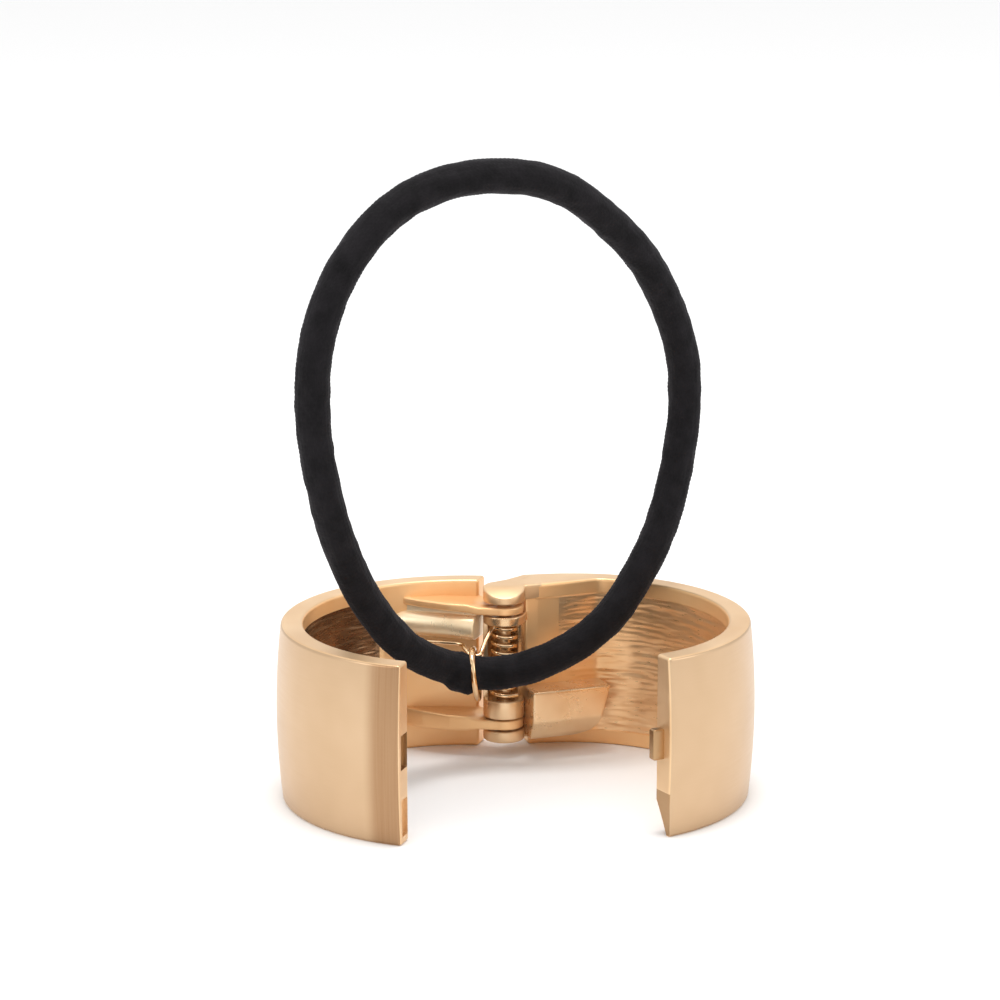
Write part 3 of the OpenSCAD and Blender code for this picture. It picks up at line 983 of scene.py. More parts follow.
@dataclass
class Wall(Casting):
    """One half of the barrel: satin outside, polished rims, and a streaked cast face sunk inside.

    A mark layer is its share, its size along and up, and the start of its noise. A fade is the distances
    from the front end where it starts and where it ends.
    """

    rounding: float = 0.36 * MM
    along_step: float = 0.36 * MM
    across_steps: Pair = (0.4 * MM, 0.1 * MM)
    up_step: float = 0.115 * MM
    hair: float = 0.02 * MM
    past_seat: float = 0.1 * MM
    corner: float = 0.25 * MM
    past_column: float = 30.0
    corner_lean: float = 0.35 * MM
    pressed: float = 0.01
    back_stretch: float = 4 * MM
    band_edge: float = 0.14 * MM
    ramp: float = 0.9
    sunk_spread: Pair = (7.0, 9.0)
    cast_ramp: float = 6.0
    end_fade: Pair = (0.1 * MM, 0.8 * MM)
    relief_fade: Pair = (0.02 * MM, 0.7 * MM)
    relief: float = 0.05 * MM
    mark_limit: float = 2.2
    mark_layers: tuple[Layer, ...] = (
        (0.65, 1.5 * MM, 0.14 * MM, 11),
        (0.35, 0.5 * MM, 0.1 * MM, 23),
        (0.4, 2.5 * MM, 1.2 * MM, 37),
    )

    def span(self) -> Pair:
        """Angles of the two ends, from the back towards the right.

        Returns:
            The lower angle and the higher one.
        """
        s = self.sizes
        if self.side is Side.LEFT:
            return -180 + s.end_turn, -turn_of(s.back_gap, s.rim_radius)
        return s.right_back, 180 - s.right_turn

    def sunk_span(self) -> Pair:
        """Angles between which the inner face is sunk: from the arm or the hinge to the end strip.

        Returns:
            The lower angle and the higher one.
        """
        s = self.sizes
        if self.side is Side.LEFT:
            return s.end_turn + s.strip_turn - 180, -turn_of(s.arm_reach + s.rim, s.sunk_radius)
        return s.sunk_turn, 180 - s.right_turn - s.strip_turn

    def ramps(self) -> tuple[Pair, Pair]:
        """Angles over which the sunk face and its cast marks rise from nothing.

        Returns:
            The sunk face's first and last angle, and those of the marks.
        """
        start, cast = self.sunk_span()[0], self.sizes.texture_turn
        if self.side is Side.LEFT:
            return (start, start + self.ramp), (start, start + self.ramp)
        before, behind = self.sunk_spread
        return (start - before, start + self.ramp + behind), (cast, cast + self.cast_ramp)

    def cut_back(self, across: Points, up: Points) -> Points:
        """How far the front end is cut back from its plane.

        On the left it is the depth of the slot for the catch and of the seat below it. On the right it is
        the slanting plane length (1 - up / height - across / rim), less the gap, and beside that plane the
        end leans back by corner_lean (1 - up / height).

        Args:
            across: distance from the rims' inner face.
            up: height.

        Returns:
            The depth at each point.
        """
        s = self.sizes
        if self.side is Side.RIGHT:
            share = 1 - up / s.corner_height - across / s.rim
            lean = self.corner_lean * np.clip(1 - up / s.corner_height, 0, 1)
            return np.maximum(s.corner_length * share - s.right_gap, lean)
        slot_depth = s.tab_length - s.right_gap - s.end_gap + s.catch_clear
        (near, far), (low, high, seat_low, seat_high) = self.pocket()
        inside = (across > near) & (across < far)
        in_slot, in_seat = (up > low) & (up < high), (up > seat_low) & (up < seat_high)
        return inside * (slot_depth * in_slot + s.seat_depth * in_seat)

    def pocket(self) -> tuple[list[float], list[float]]:
        """Sides of the left front end's cuts, with the clearance round the tab.

        Returns:
            The two sides across the wall, and the heights of the slot's and the seat's lower and upper side.
        """
        s, clear = self.sizes, self.sizes.catch_clear
        sides = [s.tab_inset - clear, s.tab_inset + s.tab_thickness + clear]
        return sides, [s.tab_z - clear, s.tab_z + s.tab_height + clear, s.seat_z, s.seat_z + s.seat_height]

    def extra_lines(self) -> list[list[float]]:
        """Lattice lines a hair on either side of each step in the front end's cuts.

        Returns:
            The lines along, across and up.
        """
        s, beside = self.sizes, (-self.hair, self.hair)
        if self.side is Side.RIGHT:
            return [[], [], [*(s.foot_z + d for d in beside), s.corner_height, s.height - s.band]]
        return [[], *([x + d for x in lines for d in beside] for lines in self.pocket())]

    def blended(self, first: Points, second: Points) -> Points:
        """The smaller of two distances, with a soft corner between them.

        It is (a + b - root of ((a - b) squared + corner squared)) / 2.
        """
        apart = first - second
        return (first + second - np.sqrt(apart**2 + self.corner**2)) / 2

    def lattice(self, length: float) -> tuple[Points, Points, dict[str, Points]]:
        """The wall laid flat: the outside of a box with rounded edges.

        Args:
            length: its length along the ring.

        Returns:
            The points' places in the lattice, the points (along, across, up), and the faces by name.
        """
        reach = [length, self.sizes.rim, self.sizes.height]
        steps = [self.along_step, self.across_steps[self.side is Side.RIGHT], self.up_step]
        lines = [margin_lines(0, *row) for row in zip(reach, [self.rounding] * 3, steps, self.extra_lines())]
        place, faces = box_lattice(tuple(len(line) for line in lines))
        flat = np.column_stack([line[place[:, k]] for k, line in enumerate(lines)])
        return place, round_edges(flat, np.zeros(3), np.array(reach), self.rounding), faces

    def inner_base(self, angle: Points, up: Points, between: Points) -> Points:
        """Distance of the inner face from the barrel's middle before it is sunk.

        On the right it passes softly into the straight face beside the hinge, above the foot's underside.

        Args:
            angle: angle of each point.
            up: its height.
            between: 1 between the bands and 0 on them.

        Returns:
            The distance at each point.
        """
        s = self.sizes
        base = np.full(len(up), s.inner_radius)
        if self.side is Side.LEFT:
            return base
        foot_top = s.foot_z + s.foot
        above = between * smoothstep(up, foot_top, foot_top + self.band_edge)
        column = s.column_radius(angle, s.cap_front + (s.column_front - s.cap_front) * above)
        beside = (angle < s.column_turn + self.past_column) & (up > s.foot_z)
        return np.where(beside, self.blended(base, column), base)

    def marks(self, shape: tuple[int, int], length: float) -> Points:
        """The cast face's marks: the sum of share times streaks over the layers, cut off at the limit.

        Args:
            shape: number of lattice lines along and up.
            length: the wall's length along the ring.

        Returns:
            The marks on the lattice.
        """
        steps = (length / shape[0], self.sizes.height / shape[1])
        layers = [
            share * streaks(shape, steps, (along, up), seed + self.side.value)
            for share, along, up, seed in self.mark_layers
        ]
        return np.clip(sum(layers), -self.mark_limit, self.mark_limit)

    def build(self) -> bpy.types.Object:
        """Builds the wall on a box lattice: along the ring, across the wall, and up.

        The outside swells by swell (1 - u u), where u is the height from the middle over half the height.
        The inner face is sunk between the bands, and the cast relief is added to it.

        Returns:
            The wall.
        """
        s, right = self.sizes, self.side is Side.RIGHT
        start, finish = self.span()
        length = np.radians(finish - start) * s.rim_radius
        place, flat, faces = self.lattice(length)
        across, up = flat[:, 1], flat[:, 2]

        from_end = length - flat[:, 0] if right else flat[:, 0]
        cut = self.cut_back(across, up)
        from_end = np.where(from_end < cut, cut - self.pressed * (cut - from_end), from_end)
        run = length - from_end if right else from_end
        angle = start + np.degrees(run / s.rim_radius)
        if not right:
            level_end = -turn_of(s.back_gap, s.inner_radius + across)
            near_back = smoothstep(run, length - self.back_stretch, length - self.rounding)
            angle += (level_end - finish) * near_back

        top_band = s.height - s.band
        between = smoothstep(up, s.band, s.band + self.band_edge)
        between *= 1 - smoothstep(up, top_band - self.band_edge, top_band)
        base = self.inner_base(angle, up, between)
        share, u = across / s.rim, (up - s.height / 2) / (s.height / 2)
        radius = base + share * (s.rim_radius - base) + s.swell * (1 - u**2) * share

        sunk_to = self.sunk_span()[1]
        sunk_ramp, cast_ramp = self.ramps()
        inside = between * (place[:, 1] == 0) * (1 - smoothstep(angle, sunk_to - self.ramp, sunk_to))
        inside *= smoothstep(from_end - cut, *self.end_fade)
        relief = self.relief * smoothstep(from_end - cut, *self.relief_fade)
        marks = self.marks((place[:, 0].max() + 1, place[:, 2].max() + 1), length)[place[:, 0], place[:, 2]]
        radius += inside * smoothstep(angle, *sunk_ramp) * s.sunk
        radius += inside * smoothstep(angle, *cast_ramp) * relief * marks

        rough = inside[faces["inner"]].min(1) * (angle[faces["inner"]].min(1) > cast_ramp[0]) > 0.5
        faces["sunk"], faces["band"] = faces["inner"][rough], faces["inner"][~rough]
        # Faces cut back into a front end, above the left seat, get a darker gold: painted shade in the slot
        # and on the right's slanted cut.
        front, seat_top = ("finish", 0) if right else ("start", s.seat_z + s.seat_height + self.past_seat)
        in_painted_shade = ((cut > self.hair / 2) & (up > seat_top))[faces[front]].any(1)
        faces["cut"], faces[front] = faces[front][in_painted_shade], faces[front][~in_painted_shade]
        body = self.side.body
        finishes = [f"{body}_satin", "rim", f"{body}_cast", "band", "painted_shade"]
        finish_of = {
            "cut": "painted_shade", "outer": finishes[0], "sunk": finishes[2], "band": "band", "top": "rim",
            "bottom": "rim", "start": "rim", "finish": "rim" if right else "band",
        }  # fmt: skip
        a = np.radians(angle)
        points = np.column_stack([radius * np.sin(a), radius * np.cos(a) - s.to_middle, up])
        blocks, order = [faces[n] for n in finish_of], [finishes.index(f) for f in finish_of.values()]
        surface = Surface(points, blocks, order, np.column_stack([run, up + across]))
        wall = self.hand_over(surface, f"{body}_wall", *finishes, crease=60)
        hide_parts(f"{body}_shell")
        return wall


@dataclass
class LeftHinge(Casting):
    """The left half's two ears on their arms, and the half-round lug under the upper one.

    The arm line is the front of the arms as shares of arm_reach and arm_front. The arm bend is a share of
    the way to the wall, and the share of the rise that is reached there. The lug reaches into lug_share of
    the upper ear's thickness.
    """

    arm_line: tuple[Pair, ...] = ((1, 0.7), (0.8, 0.84), (0.5, 0.93))
    arm_bend: Pair = (0.15, 0.55)
    end_inset: float = 0.5 * MM
    end_depth: float = 0.6 * MM
    ear_turn: float = 86.0
    ear_corner: float = 0.3 * MM
    lug_back: float = 5 * MM
    lug_front: float = 0.1 * MM
    lug_share: float = 0.75
    lug_corner: float = 0.25 * MM
    lug_step: float = 0.4 * MM
    lug_edge: float = 0.18 * MM

    def ear_outline(self) -> Points:
        """Outline of an ear and its arm: round the pin, back to the wall's end, into the wall, and forward.

        Returns:
            The outline, anticlockwise.
        """
        s, ear = self.sizes, self.sizes.ear / 2
        end_turn = turn_of(s.back_gap + self.end_inset, s.inner_radius)
        wall_end = s.on_barrel(s.inner_radius + self.end_depth, -end_turn)
        far = -s.arm_reach - s.rim
        front = [(-s.arm_reach * a, -s.arm_front * b) for a, b in self.arm_line]
        corners = [(0, ear), tuple(wall_end), (far, wall_end[1]), (far, -s.arm_front / 3), *front, (0, -ear)]
        return rounded([arc(ear, -self.ear_turn, self.ear_turn, 24), corners], self.ear_corner)

    def ear_surface(self, z: float, height: float, under: float, over: float) -> Surface:
        """An ear and its arm: level round the pin, then with faces that rise or drop towards the wall.

        Args:
            z: height of the underside at the pin.
            height: thickness at the pin.
            under: rise of the underside from the pin to the wall.
            over: rise of the top from the pin to the wall.

        Returns:
            The surface: a bored prism whose points move up by a share, along the arm, of both rises.
        """
        s = self.sizes
        made = bored_prism(self.ear_outline(), z, z + height, self.rounding, s.pin / 2 + s.bore_clear)
        way = (-made.points[:, 0] - s.knuckle / 2) / (s.arm_reach - s.knuckle / 2)
        bend, share = self.arm_bend
        rise = np.interp(way, [0, bend, 1], [0, share, 1])
        up = (made.points[:, 2] - z) / height
        return made.moved(lowered(made.points, -rise * (under + (over - under) * up)))

    def build(self) -> list[bpy.types.Object]:
        """Builds the two ears and the lug.

        Returns:
            The pieces.
        """
        s = self.sizes
        upper = self.ear_surface(s.upper_ear_z, s.upper_ear, s.upper_ear_rise, s.upper_ear_rise)
        lower = self.ear_surface(s.lower_ear_z, s.lower_ear, -s.lower_ear_drop, s.lower_ear_rise)
        return [
            self.hand_over(upper, "left_upper_ear", "band", rooted=True),
            self.hand_over(lower, "left_lower_ear", "band", rooted=True),
            # The lug is painted lighter: painted light.
            self.hand_over(self.lug_surface(), "left_lug", "pale", rooted=True),
        ]

    def lug_surface(self) -> Surface:
        """The lug: an outline across it, carried from its free end to the wall.

        Returns:
            The closed surface.
        """
        s, bar = self.sizes, self.sizes.lug / 2
        axis_y = bar - s.arm_front
        front = arc(bar, 90, 270, 26) + np.array([axis_y, s.lug_z])
        top = s.upper_ear_z + self.lug_share * s.upper_ear
        corners = [(self.lug_back, s.lug_z - bar), (self.lug_back, top), (axis_y + self.lug_front, top)]
        outline = rounded([front, corners], self.lug_corner, self.lug_step)
        made = prism(outline, s.lug_gap, s.arm_reach + s.rim, self.lug_edge)
        return made.moved(np.column_stack([-made.points[:, 2], made.points[:, 0], made.points[:, 1]]))


@dataclass
class RightHinge(Casting):
    """The right half's cap, foot, column, knuckles and trough, the block beside them, and the catch tab.

    The block line gives the block's length at a height, each as a share. The nose is the part of the cap
    over the pin, which lies in the direction nose_way. A turn is an angle round the pin at which an outline
    starts or ends.
    """

    block_line: tuple[Pair, ...] = ((0.55, 0), (0.78, 0.08), (0.87, 0.24), (1, 1))
    block_corner: float = 0.3 * MM
    block_soft: float = 0.05 * MM
    block_edge: float = 0.25 * MM
    overlap: float = 4.0
    proud: float = 0.015 * MM
    behind: float = 0.06 * MM
    under_skin: float = 0.5 * MM
    sink: float = 0.08 * MM
    lift: float = 0.012 * MM
    plate_turn: float = 88.0
    plate_corner: float = 0.2 * MM
    knuckle_turn: float = 330.0
    knuckle_corner: float = 0.3 * MM
    knuckle_edge: float = 0.15 * MM
    trough_from: float = 12.0
    trough_corner: float = 0.18 * MM
    fine_step: float = 0.4 * MM
    hidden_edge: float = 0.1 * MM
    join: float = 0.3 * MM
    tab_root: float = 1.2 * MM
    tab_corner: float = 0.3 * MM
    nose: float = 2.3 * MM
    nose_depth: float = 0.95 * MM
    nose_way: float = 245.0
    nose_spread: float = 0.8
    nose_power: float = 1.4
    nose_limit: float = 0.1 * MM
    nose_rings: int = 10

    @property
    def takeover(self) -> Pair:
        """Angles between which the wall's face takes over from a plate's side."""
        return self.sizes.right_back + self.overlap / 2, self.sizes.right_back + self.overlap

    def wall_corners(self, face: float) -> Points:
        """Corners of a plate where it enters the wall.

        The inner side stands a hair proud of the wall's face past its rounded end, and then goes behind it.
        The outline goes on inside the wall, and back to the wall's end.

        Args:
            face: distance of the inner face in front of the pin.

        Returns:
            The four corners, anticlockwise.
        """
        s = self.sizes
        near, far = self.takeover
        inside = s.column_radius(np.array([near, far]), np.array([face, face]))
        return np.array(
            [
                s.on_barrel(inside[0] - self.proud, near),
                s.on_barrel(inside[1] + self.behind, far),
                s.on_barrel(s.rim_radius - self.under_skin, far),
                s.on_barrel(s.rim_radius, s.right_back) - np.array([0, self.join]),
            ]
        )

    def plate_outline(self, face: float) -> Points:
        """Outline of the cap and foot, anticlockwise: round the pin, then a little way into the wall.

        Args:
            face: distance of the inner face in front of the pin.

        Returns:
            The outline.
        """
        s, knuckle = self.sizes, self.sizes.knuckle / 2
        round_pin = arc(knuckle, self.plate_turn, 360 - turn_of(face, knuckle), 60)
        lines = [round_pin, self.wall_corners(face), [(s.pin, knuckle + s.ear_gap)]]
        return rounded(lines, self.plate_corner)

    def column_outline(self, face: float) -> Points:
        """Outline of the column between the cap and the foot, beside the room that the ears need.

        Args:
            face: distance of the inner face in front of the pin.

        Returns:
            The outline, anticlockwise.
        """
        s = self.sizes
        side, back = (s.knuckle + s.ear_gap) / 2, s.knuckle / 2 + 2 * s.ear_gap
        return rounded([[(side, -face)], self.wall_corners(face), [(side, back)]], self.plate_corner)

    def soft_nose(self, points: Points) -> Points:
        """Rounds the cap's nose over the pin, where polishing has taken its edge down.

        The top drops by nose_depth cos(nose_spread (direction - nose_way)) squared, times t to the
        nose_power, where t is the share of the way through the nose to the edge.

        Args:
            points: the cap's points.

        Returns:
            The points, with the top of the nose lowered.
        """
        s, knuckle = self.sizes, self.sizes.knuckle / 2
        away = np.linalg.norm(points[:, :2], axis=1)
        share = np.clip((away - knuckle + self.nose) / self.nose, 0, 1)
        way = np.degrees(np.arctan2(points[:, 1], points[:, 0])) % 360
        turn = np.clip(self.nose_spread * (way - self.nose_way), -90, 90)
        drop = self.nose_depth * np.cos(np.radians(turn)) ** 2 * share**self.nose_power
        drop *= away < knuckle + self.nose_limit
        up = np.clip((points[:, 2] - s.cap_z) / s.cap, 0, 1)
        return lowered(points, drop * up**2)

    def under_rim(self, points: Points) -> Points:
        """Lets a level top sink a hair below the rim's top where the wall takes over.

        The top drops by sink times a smooth step over the takeover, less lift.

        Args:
            points: the piece's points.

        Returns:
            The points, sunk inside the wall, and lifted a hair above the rim elsewhere.
        """
        s = self.sizes
        angle = np.degrees(np.arctan2(points[:, 0], points[:, 1] + s.to_middle))
        drop = self.sink * smoothstep(angle, *self.takeover) - self.lift
        return lowered(points, drop * (points[:, 2] > s.cap_z + s.cap / 2))

    def knuckle_outline(self) -> Points:
        """Outline of an inner knuckle: round the pin, and to the column beside it.

        Returns:
            The outline, anticlockwise.
        """
        s, knuckle = self.sizes, self.sizes.knuckle / 2
        side = knuckle + s.ear_gap / 2 + self.join
        round_pin = arc(knuckle, turn_of(s.pin, knuckle), self.knuckle_turn, 60)
        return rounded([round_pin, [(side, -s.column_front), (side, s.pin)]], self.knuckle_corner)

    def trough_outline(self) -> Points:
        """Outline of the half-round trough behind the spring: out along one arc and back along another.

        Returns:
            The outline, anticlockwise.
        """
        s, knuckle = self.sizes, self.sizes.knuckle / 2
        outer = arc(knuckle, self.trough_from, s.trough_turn, 40)
        inner = arc(knuckle - s.trough_wall, s.trough_turn, 0, 40)
        side = knuckle + self.join
        lines = [outer, inner, [(side, 0), (side, knuckle / 2)]]
        return rounded(lines, self.trough_corner, self.fine_step)

    def block_surface(self) -> Surface:
        """The block: an outline across it, carried along it, and shortened towards its underside.

        The end's distance at a height is block_length times the share read from block_line.

        Returns:
            The closed surface, beside the pin.
        """
        s = self.sizes
        depth = 2 * s.block_front + s.pin_inset
        corners = np.array(
            [
                (0, s.block_top),
                (0, s.block_z + s.block_bevel),
                (s.block_bevel_in, s.block_z),
                (depth, s.block_z),
                (depth, s.block_top),
            ]
        )
        outline = resample(soften(corners, self.block_corner), self.fine_step)
        outline = soften(outline, self.block_soft, 2)
        made = prism(outline, 0, s.block_length, self.block_edge)
        away, back, up = made.points[:, 2], made.points[:, 0], made.points[:, 1]
        share = (up - s.block_z) / (s.block_top - s.block_z)
        line = np.array(self.block_line)
        away = away * np.interp(share, line[:, 1], line[:, 0])
        turn = -np.arctan(s.block_lean / s.block_length)
        x = s.pin + away * np.cos(turn) - back * np.sin(turn)
        y = -s.block_front + away * np.sin(turn) + back * np.cos(turn)
        return made.moved(np.column_stack([x, y, up]))

    def tab_surface(self) -> Surface:
        """The catch tab: a rounded bar that stands out of the front end.

        Returns:
            The closed surface.
        """
        s = self.sizes
        near = -s.to_middle - s.inner_radius - s.tab_inset
        far = near - s.tab_thickness
        left, right = s.right_gap - s.tab_length, s.right_gap + self.tab_root
        corners = np.array([(left, far), (right, far), (right, near), (left, near)])
        return prism(soften(corners, self.tab_corner, 6), s.tab_z, s.tab_z + s.tab_height, self.rounding)

    def build(self) -> list[bpy.types.Object]:
        """Builds the cap, foot, column, knuckles, trough, block and tab.

        Returns:
            The pieces.
        """
        s = self.sizes
        bore, middle, join = s.pin / 2 + s.bore_clear, s.cap_z + s.cap / 2, self.join
        plate, knuckle = self.plate_outline(s.cap_front), self.knuckle_outline()
        cap = bored_prism(plate, s.cap_z, s.height, self.rounding, bore, middle, self.nose_rings)
        cap = cap.moved(self.under_rim(self.soft_nose(cap.points)))
        foot = bored_prism(plate, s.foot_z, s.foot_z + s.foot, self.rounding, bore)
        column = prism(self.column_outline(s.column_front), s.foot_z + s.foot / 2, middle, self.hidden_edge)
        upper_top = s.upper_knuckle_z + s.upper_knuckle
        upper = bored_prism(knuckle, s.upper_knuckle_z, upper_top, self.knuckle_edge, bore)
        lower = bored_prism(knuckle, s.lower_knuckle_z, s.lower_knuckle_top, self.knuckle_edge, bore)
        low, high = s.lower_knuckle_top - join, s.upper_knuckle_z + join
        trough = prism(self.trough_outline(), low, high, self.hidden_edge)
        return [
            self.hand_over(cap, "right_cap", "rim"),
            self.hand_over(foot, "right_foot", "rim"),
            self.hand_over(column, "right_column", "band"),
            self.hand_over(upper, "right_upper_knuckle", "bright"),
            self.hand_over(lower, "right_lower_knuckle", "bright"),
            self.hand_over(trough, "right_trough", "bright"),
            self.hand_over(self.block_surface(), "right_block", "bright", rooted=True),
            # The tab gets the same darker gold: painted shade.
            self.hand_over(self.tab_surface(), "right_tab", "painted_shade"),
        ]


# ----------------------------------------
# Pin, spring, jump ring and elastic


@dataclass
class Fitting:
    """What the pin, the spring and the jump ring share: their finish, and the move to the pin's place."""

    finish: bpy.types.Material
    sizes: CuffSizes = CUFF

    def placed(self, surface: Surface, name: str) -> bpy.types.Object:
        """Moves a surface round the Z axis to the pin's place, and makes the object."""
        return surface.moved(self.sizes.opened(surface.points, 0)).to_object(name, [self.finish])


@dataclass
class HingePin(Fitting):
    """The pin through the knuckles, with rounded ends."""

    rounding: float = 0.2 * MM
    sides: int = 72

    def build(self) -> bpy.types.Object:
        """Builds the pin as a rounded prism on a circle.

        Returns:
            The pin.
        """
        s = self.sizes
        low, high = s.foot_z + s.ear_gap, s.cap_z + s.cap / 2 - s.ear_gap
        circle = arc(s.pin / 2, 0, 360 - 360 / self.sides, self.sides)
        pin = self.placed(prism(circle, low, high, self.rounding), "pin")
        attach(pin, "left")
        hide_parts("hinge_pin")
        return pin


@dataclass
class Spring(Fitting):
    """The torsion spring round the pin, with its lower leg and the upper leg that holds the jump ring.

    A row of the hook route is the distance out in millimetres, and the shares of hook_front and of the drop
    to hook_z. The leg start is given by the first two.
    """

    wire: float = 0.5 * MM
    sides: int = 14
    coil: float = 2.7 * MM
    pitch: float = 0.93 * MM
    turn_steps: int = 40
    leg_steps: int = 10
    low_leg: float = 1.0 * MM
    low_leg_steps: int = 8
    hook_front: float = 3.4 * MM
    hook_z: float = 12.8 * MM
    leg: float = 5.0 * MM
    hook_route: tuple[Triple, ...] = (
        (0.9, 0, 0), (1.3, 0.35, 0.4), (1.4, 0.7, 0.8), (1.55, 0.95, 1), (2.5, 1, 1), (3.4, 0.8, 0.8),
    )  # fmt: skip
    leg_start: Pair = (4.2, 0.55)

    def heights(self) -> Triple:
        """Heights of the wire, half a wire and a gap away from the knuckles and from the lug.

        Returns:
            The heights of the lowest coil, the highest coil and the upper leg.
        """
        s = self.sizes
        low = s.lower_knuckle_top + s.ear_gap + self.wire / 2
        high = s.upper_knuckle_z - s.ear_gap - self.wire / 2
        return low, high, s.lug_z - (s.lug + self.wire) / 2 - s.ear_gap / 2

    def path(self) -> Points:
        """The wire's centreline from the lower leg to the upper leg.

        The coil is radius (cos a, sin a), clockwise as it rises evenly. The legs run in the two halves' own
        directions.

        Returns:
            Points close enough together to look smooth.
        """
        turn = self.sizes.half_open
        low, high, leg_z = self.heights()
        first, last = -90 + turn, -90 - turn
        turns = np.floor((high - low) / self.pitch) + (first - last) / 360
        share = np.linspace(0, 1, int(turns * self.turn_steps))
        a, radius = np.radians(first - 360 * turns * share), self.coil / 2
        coils = np.column_stack([radius * np.cos(a), radius * np.sin(a), low + (high - low) * share])
        left, front, end = level(180 - turn), level(last), coils[-1] * [1, 1, 0]

        def spot(out: float, share: float, z: float) -> Points:
            """A point of the upper leg: distance out, share of hook_front in front, and height."""
            return end + out * left + share * self.hook_front * front + [0, 0, z]

        fall = high - self.hook_z
        hook = [spot(out * MM, share, high - down * fall) for out, share, down in self.hook_route]
        out, share = self.leg_start
        straight = [spot(out * MM + run, share, leg_z) for run in (0, self.leg / 2, self.leg)]
        leg = catmull_rom(np.array([coils[-1], *hook, *straight]), self.leg_steps, False)
        from_coil = np.linspace(self.low_leg, 0, self.low_leg_steps, endpoint=False)
        start = coils[0] + from_coil[:, None] * level(turn)
        return np.vstack([start, coils, leg[1:]])

    def build(self) -> bpy.types.Object:
        """Builds the spring.

        Returns:
            The spring.
        """
        s, path, low = self.sizes, self.path(), self.heights()[0]
        radius = np.full((len(path), self.sides), self.wire / 2)
        spring = self.placed(tube(path, radius, np.array([0, 0.05, 1.0]), False), "spring")
        s.pin_y
        s.pin_y
        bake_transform(spring)
        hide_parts("coil_spring")
        return spring


@dataclass
class JumpRing(Fitting):
    """The wire ring that holds the elastic to the spring's upper leg, with its hair-thin split."""

    ring: float = 5.7 * MM
    wire: float = 0.7 * MM
    sides: int = 20
    steps: int = 181
    at: Triple = (-3.7 * MM, -4.5 * MM, 10.9 * MM)
    turn: float = -8.0
    tilt: float = 7.0
    split: float = 112.0
    bent: float = 358.6

    def build(self) -> bpy.types.Object:
        """Builds the ring: a circle in a tilted upright plane, carried as a tube that stops at the split.

        Returns:
            The ring.
        """
        a = np.radians(np.linspace(self.split, self.split + self.bent, self.steps))[:, None]
        across, forward = level(self.turn), level(self.turn + 90)
        lean, rise = level(self.tilt)[:2]
        upright = np.array([0, 0, lean]) - rise * across
        path = self.ring / 2 * (np.cos(a) * forward + np.sin(a) * upright) + np.array(self.at)
        hint = lean * across + np.array([0, 0, rise])
        radius = np.full((len(path), self.sides), self.wire / 2)
        ring = self.placed(tube(path, radius, hint, False), "jump_ring_wire")
        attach(ring, "left")
        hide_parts("jump_ring")
        return ring


ELASTIC_ROUTE = np.array(
    [
        [-0.0035, -0.005, 0.011], [0, -0.005, 0.011], [0.0035, -0.005, 0.012],
        [0.008, -0.0045, 0.014], [0.012, -0.0035, 0.017], [0.015, -0.002, 0.021],
        [0.0175, -0.001, 0.0255], [0.0195, 0.001, 0.031], [0.021, 0.003, 0.038],
        [0.021, 0.003, 0.045], [0.0195, 0.002, 0.0505], [0.016, -0.001, 0.0575],
        [0.011, -0.0045, 0.063], [0.005, -0.0085, 0.0675], [-0.0015, -0.0115, 0.069],
        [-0.0085, -0.0145, 0.0685], [-0.0145, -0.017, 0.0655], [-0.0195, -0.0195, 0.0595],
        [-0.022, -0.0205, 0.0525], [-0.0225, -0.02, 0.0445], [-0.0215, -0.019, 0.037],
        [-0.0195, -0.0165, 0.029], [-0.0165, -0.013, 0.022], [-0.0125, -0.0095, 0.016],
        [-0.008, -0.006, 0.0125],
    ]
)  # fmt: skip
"""Places along the elastic, from the jump ring round to it again, with the pin on the Z axis."""


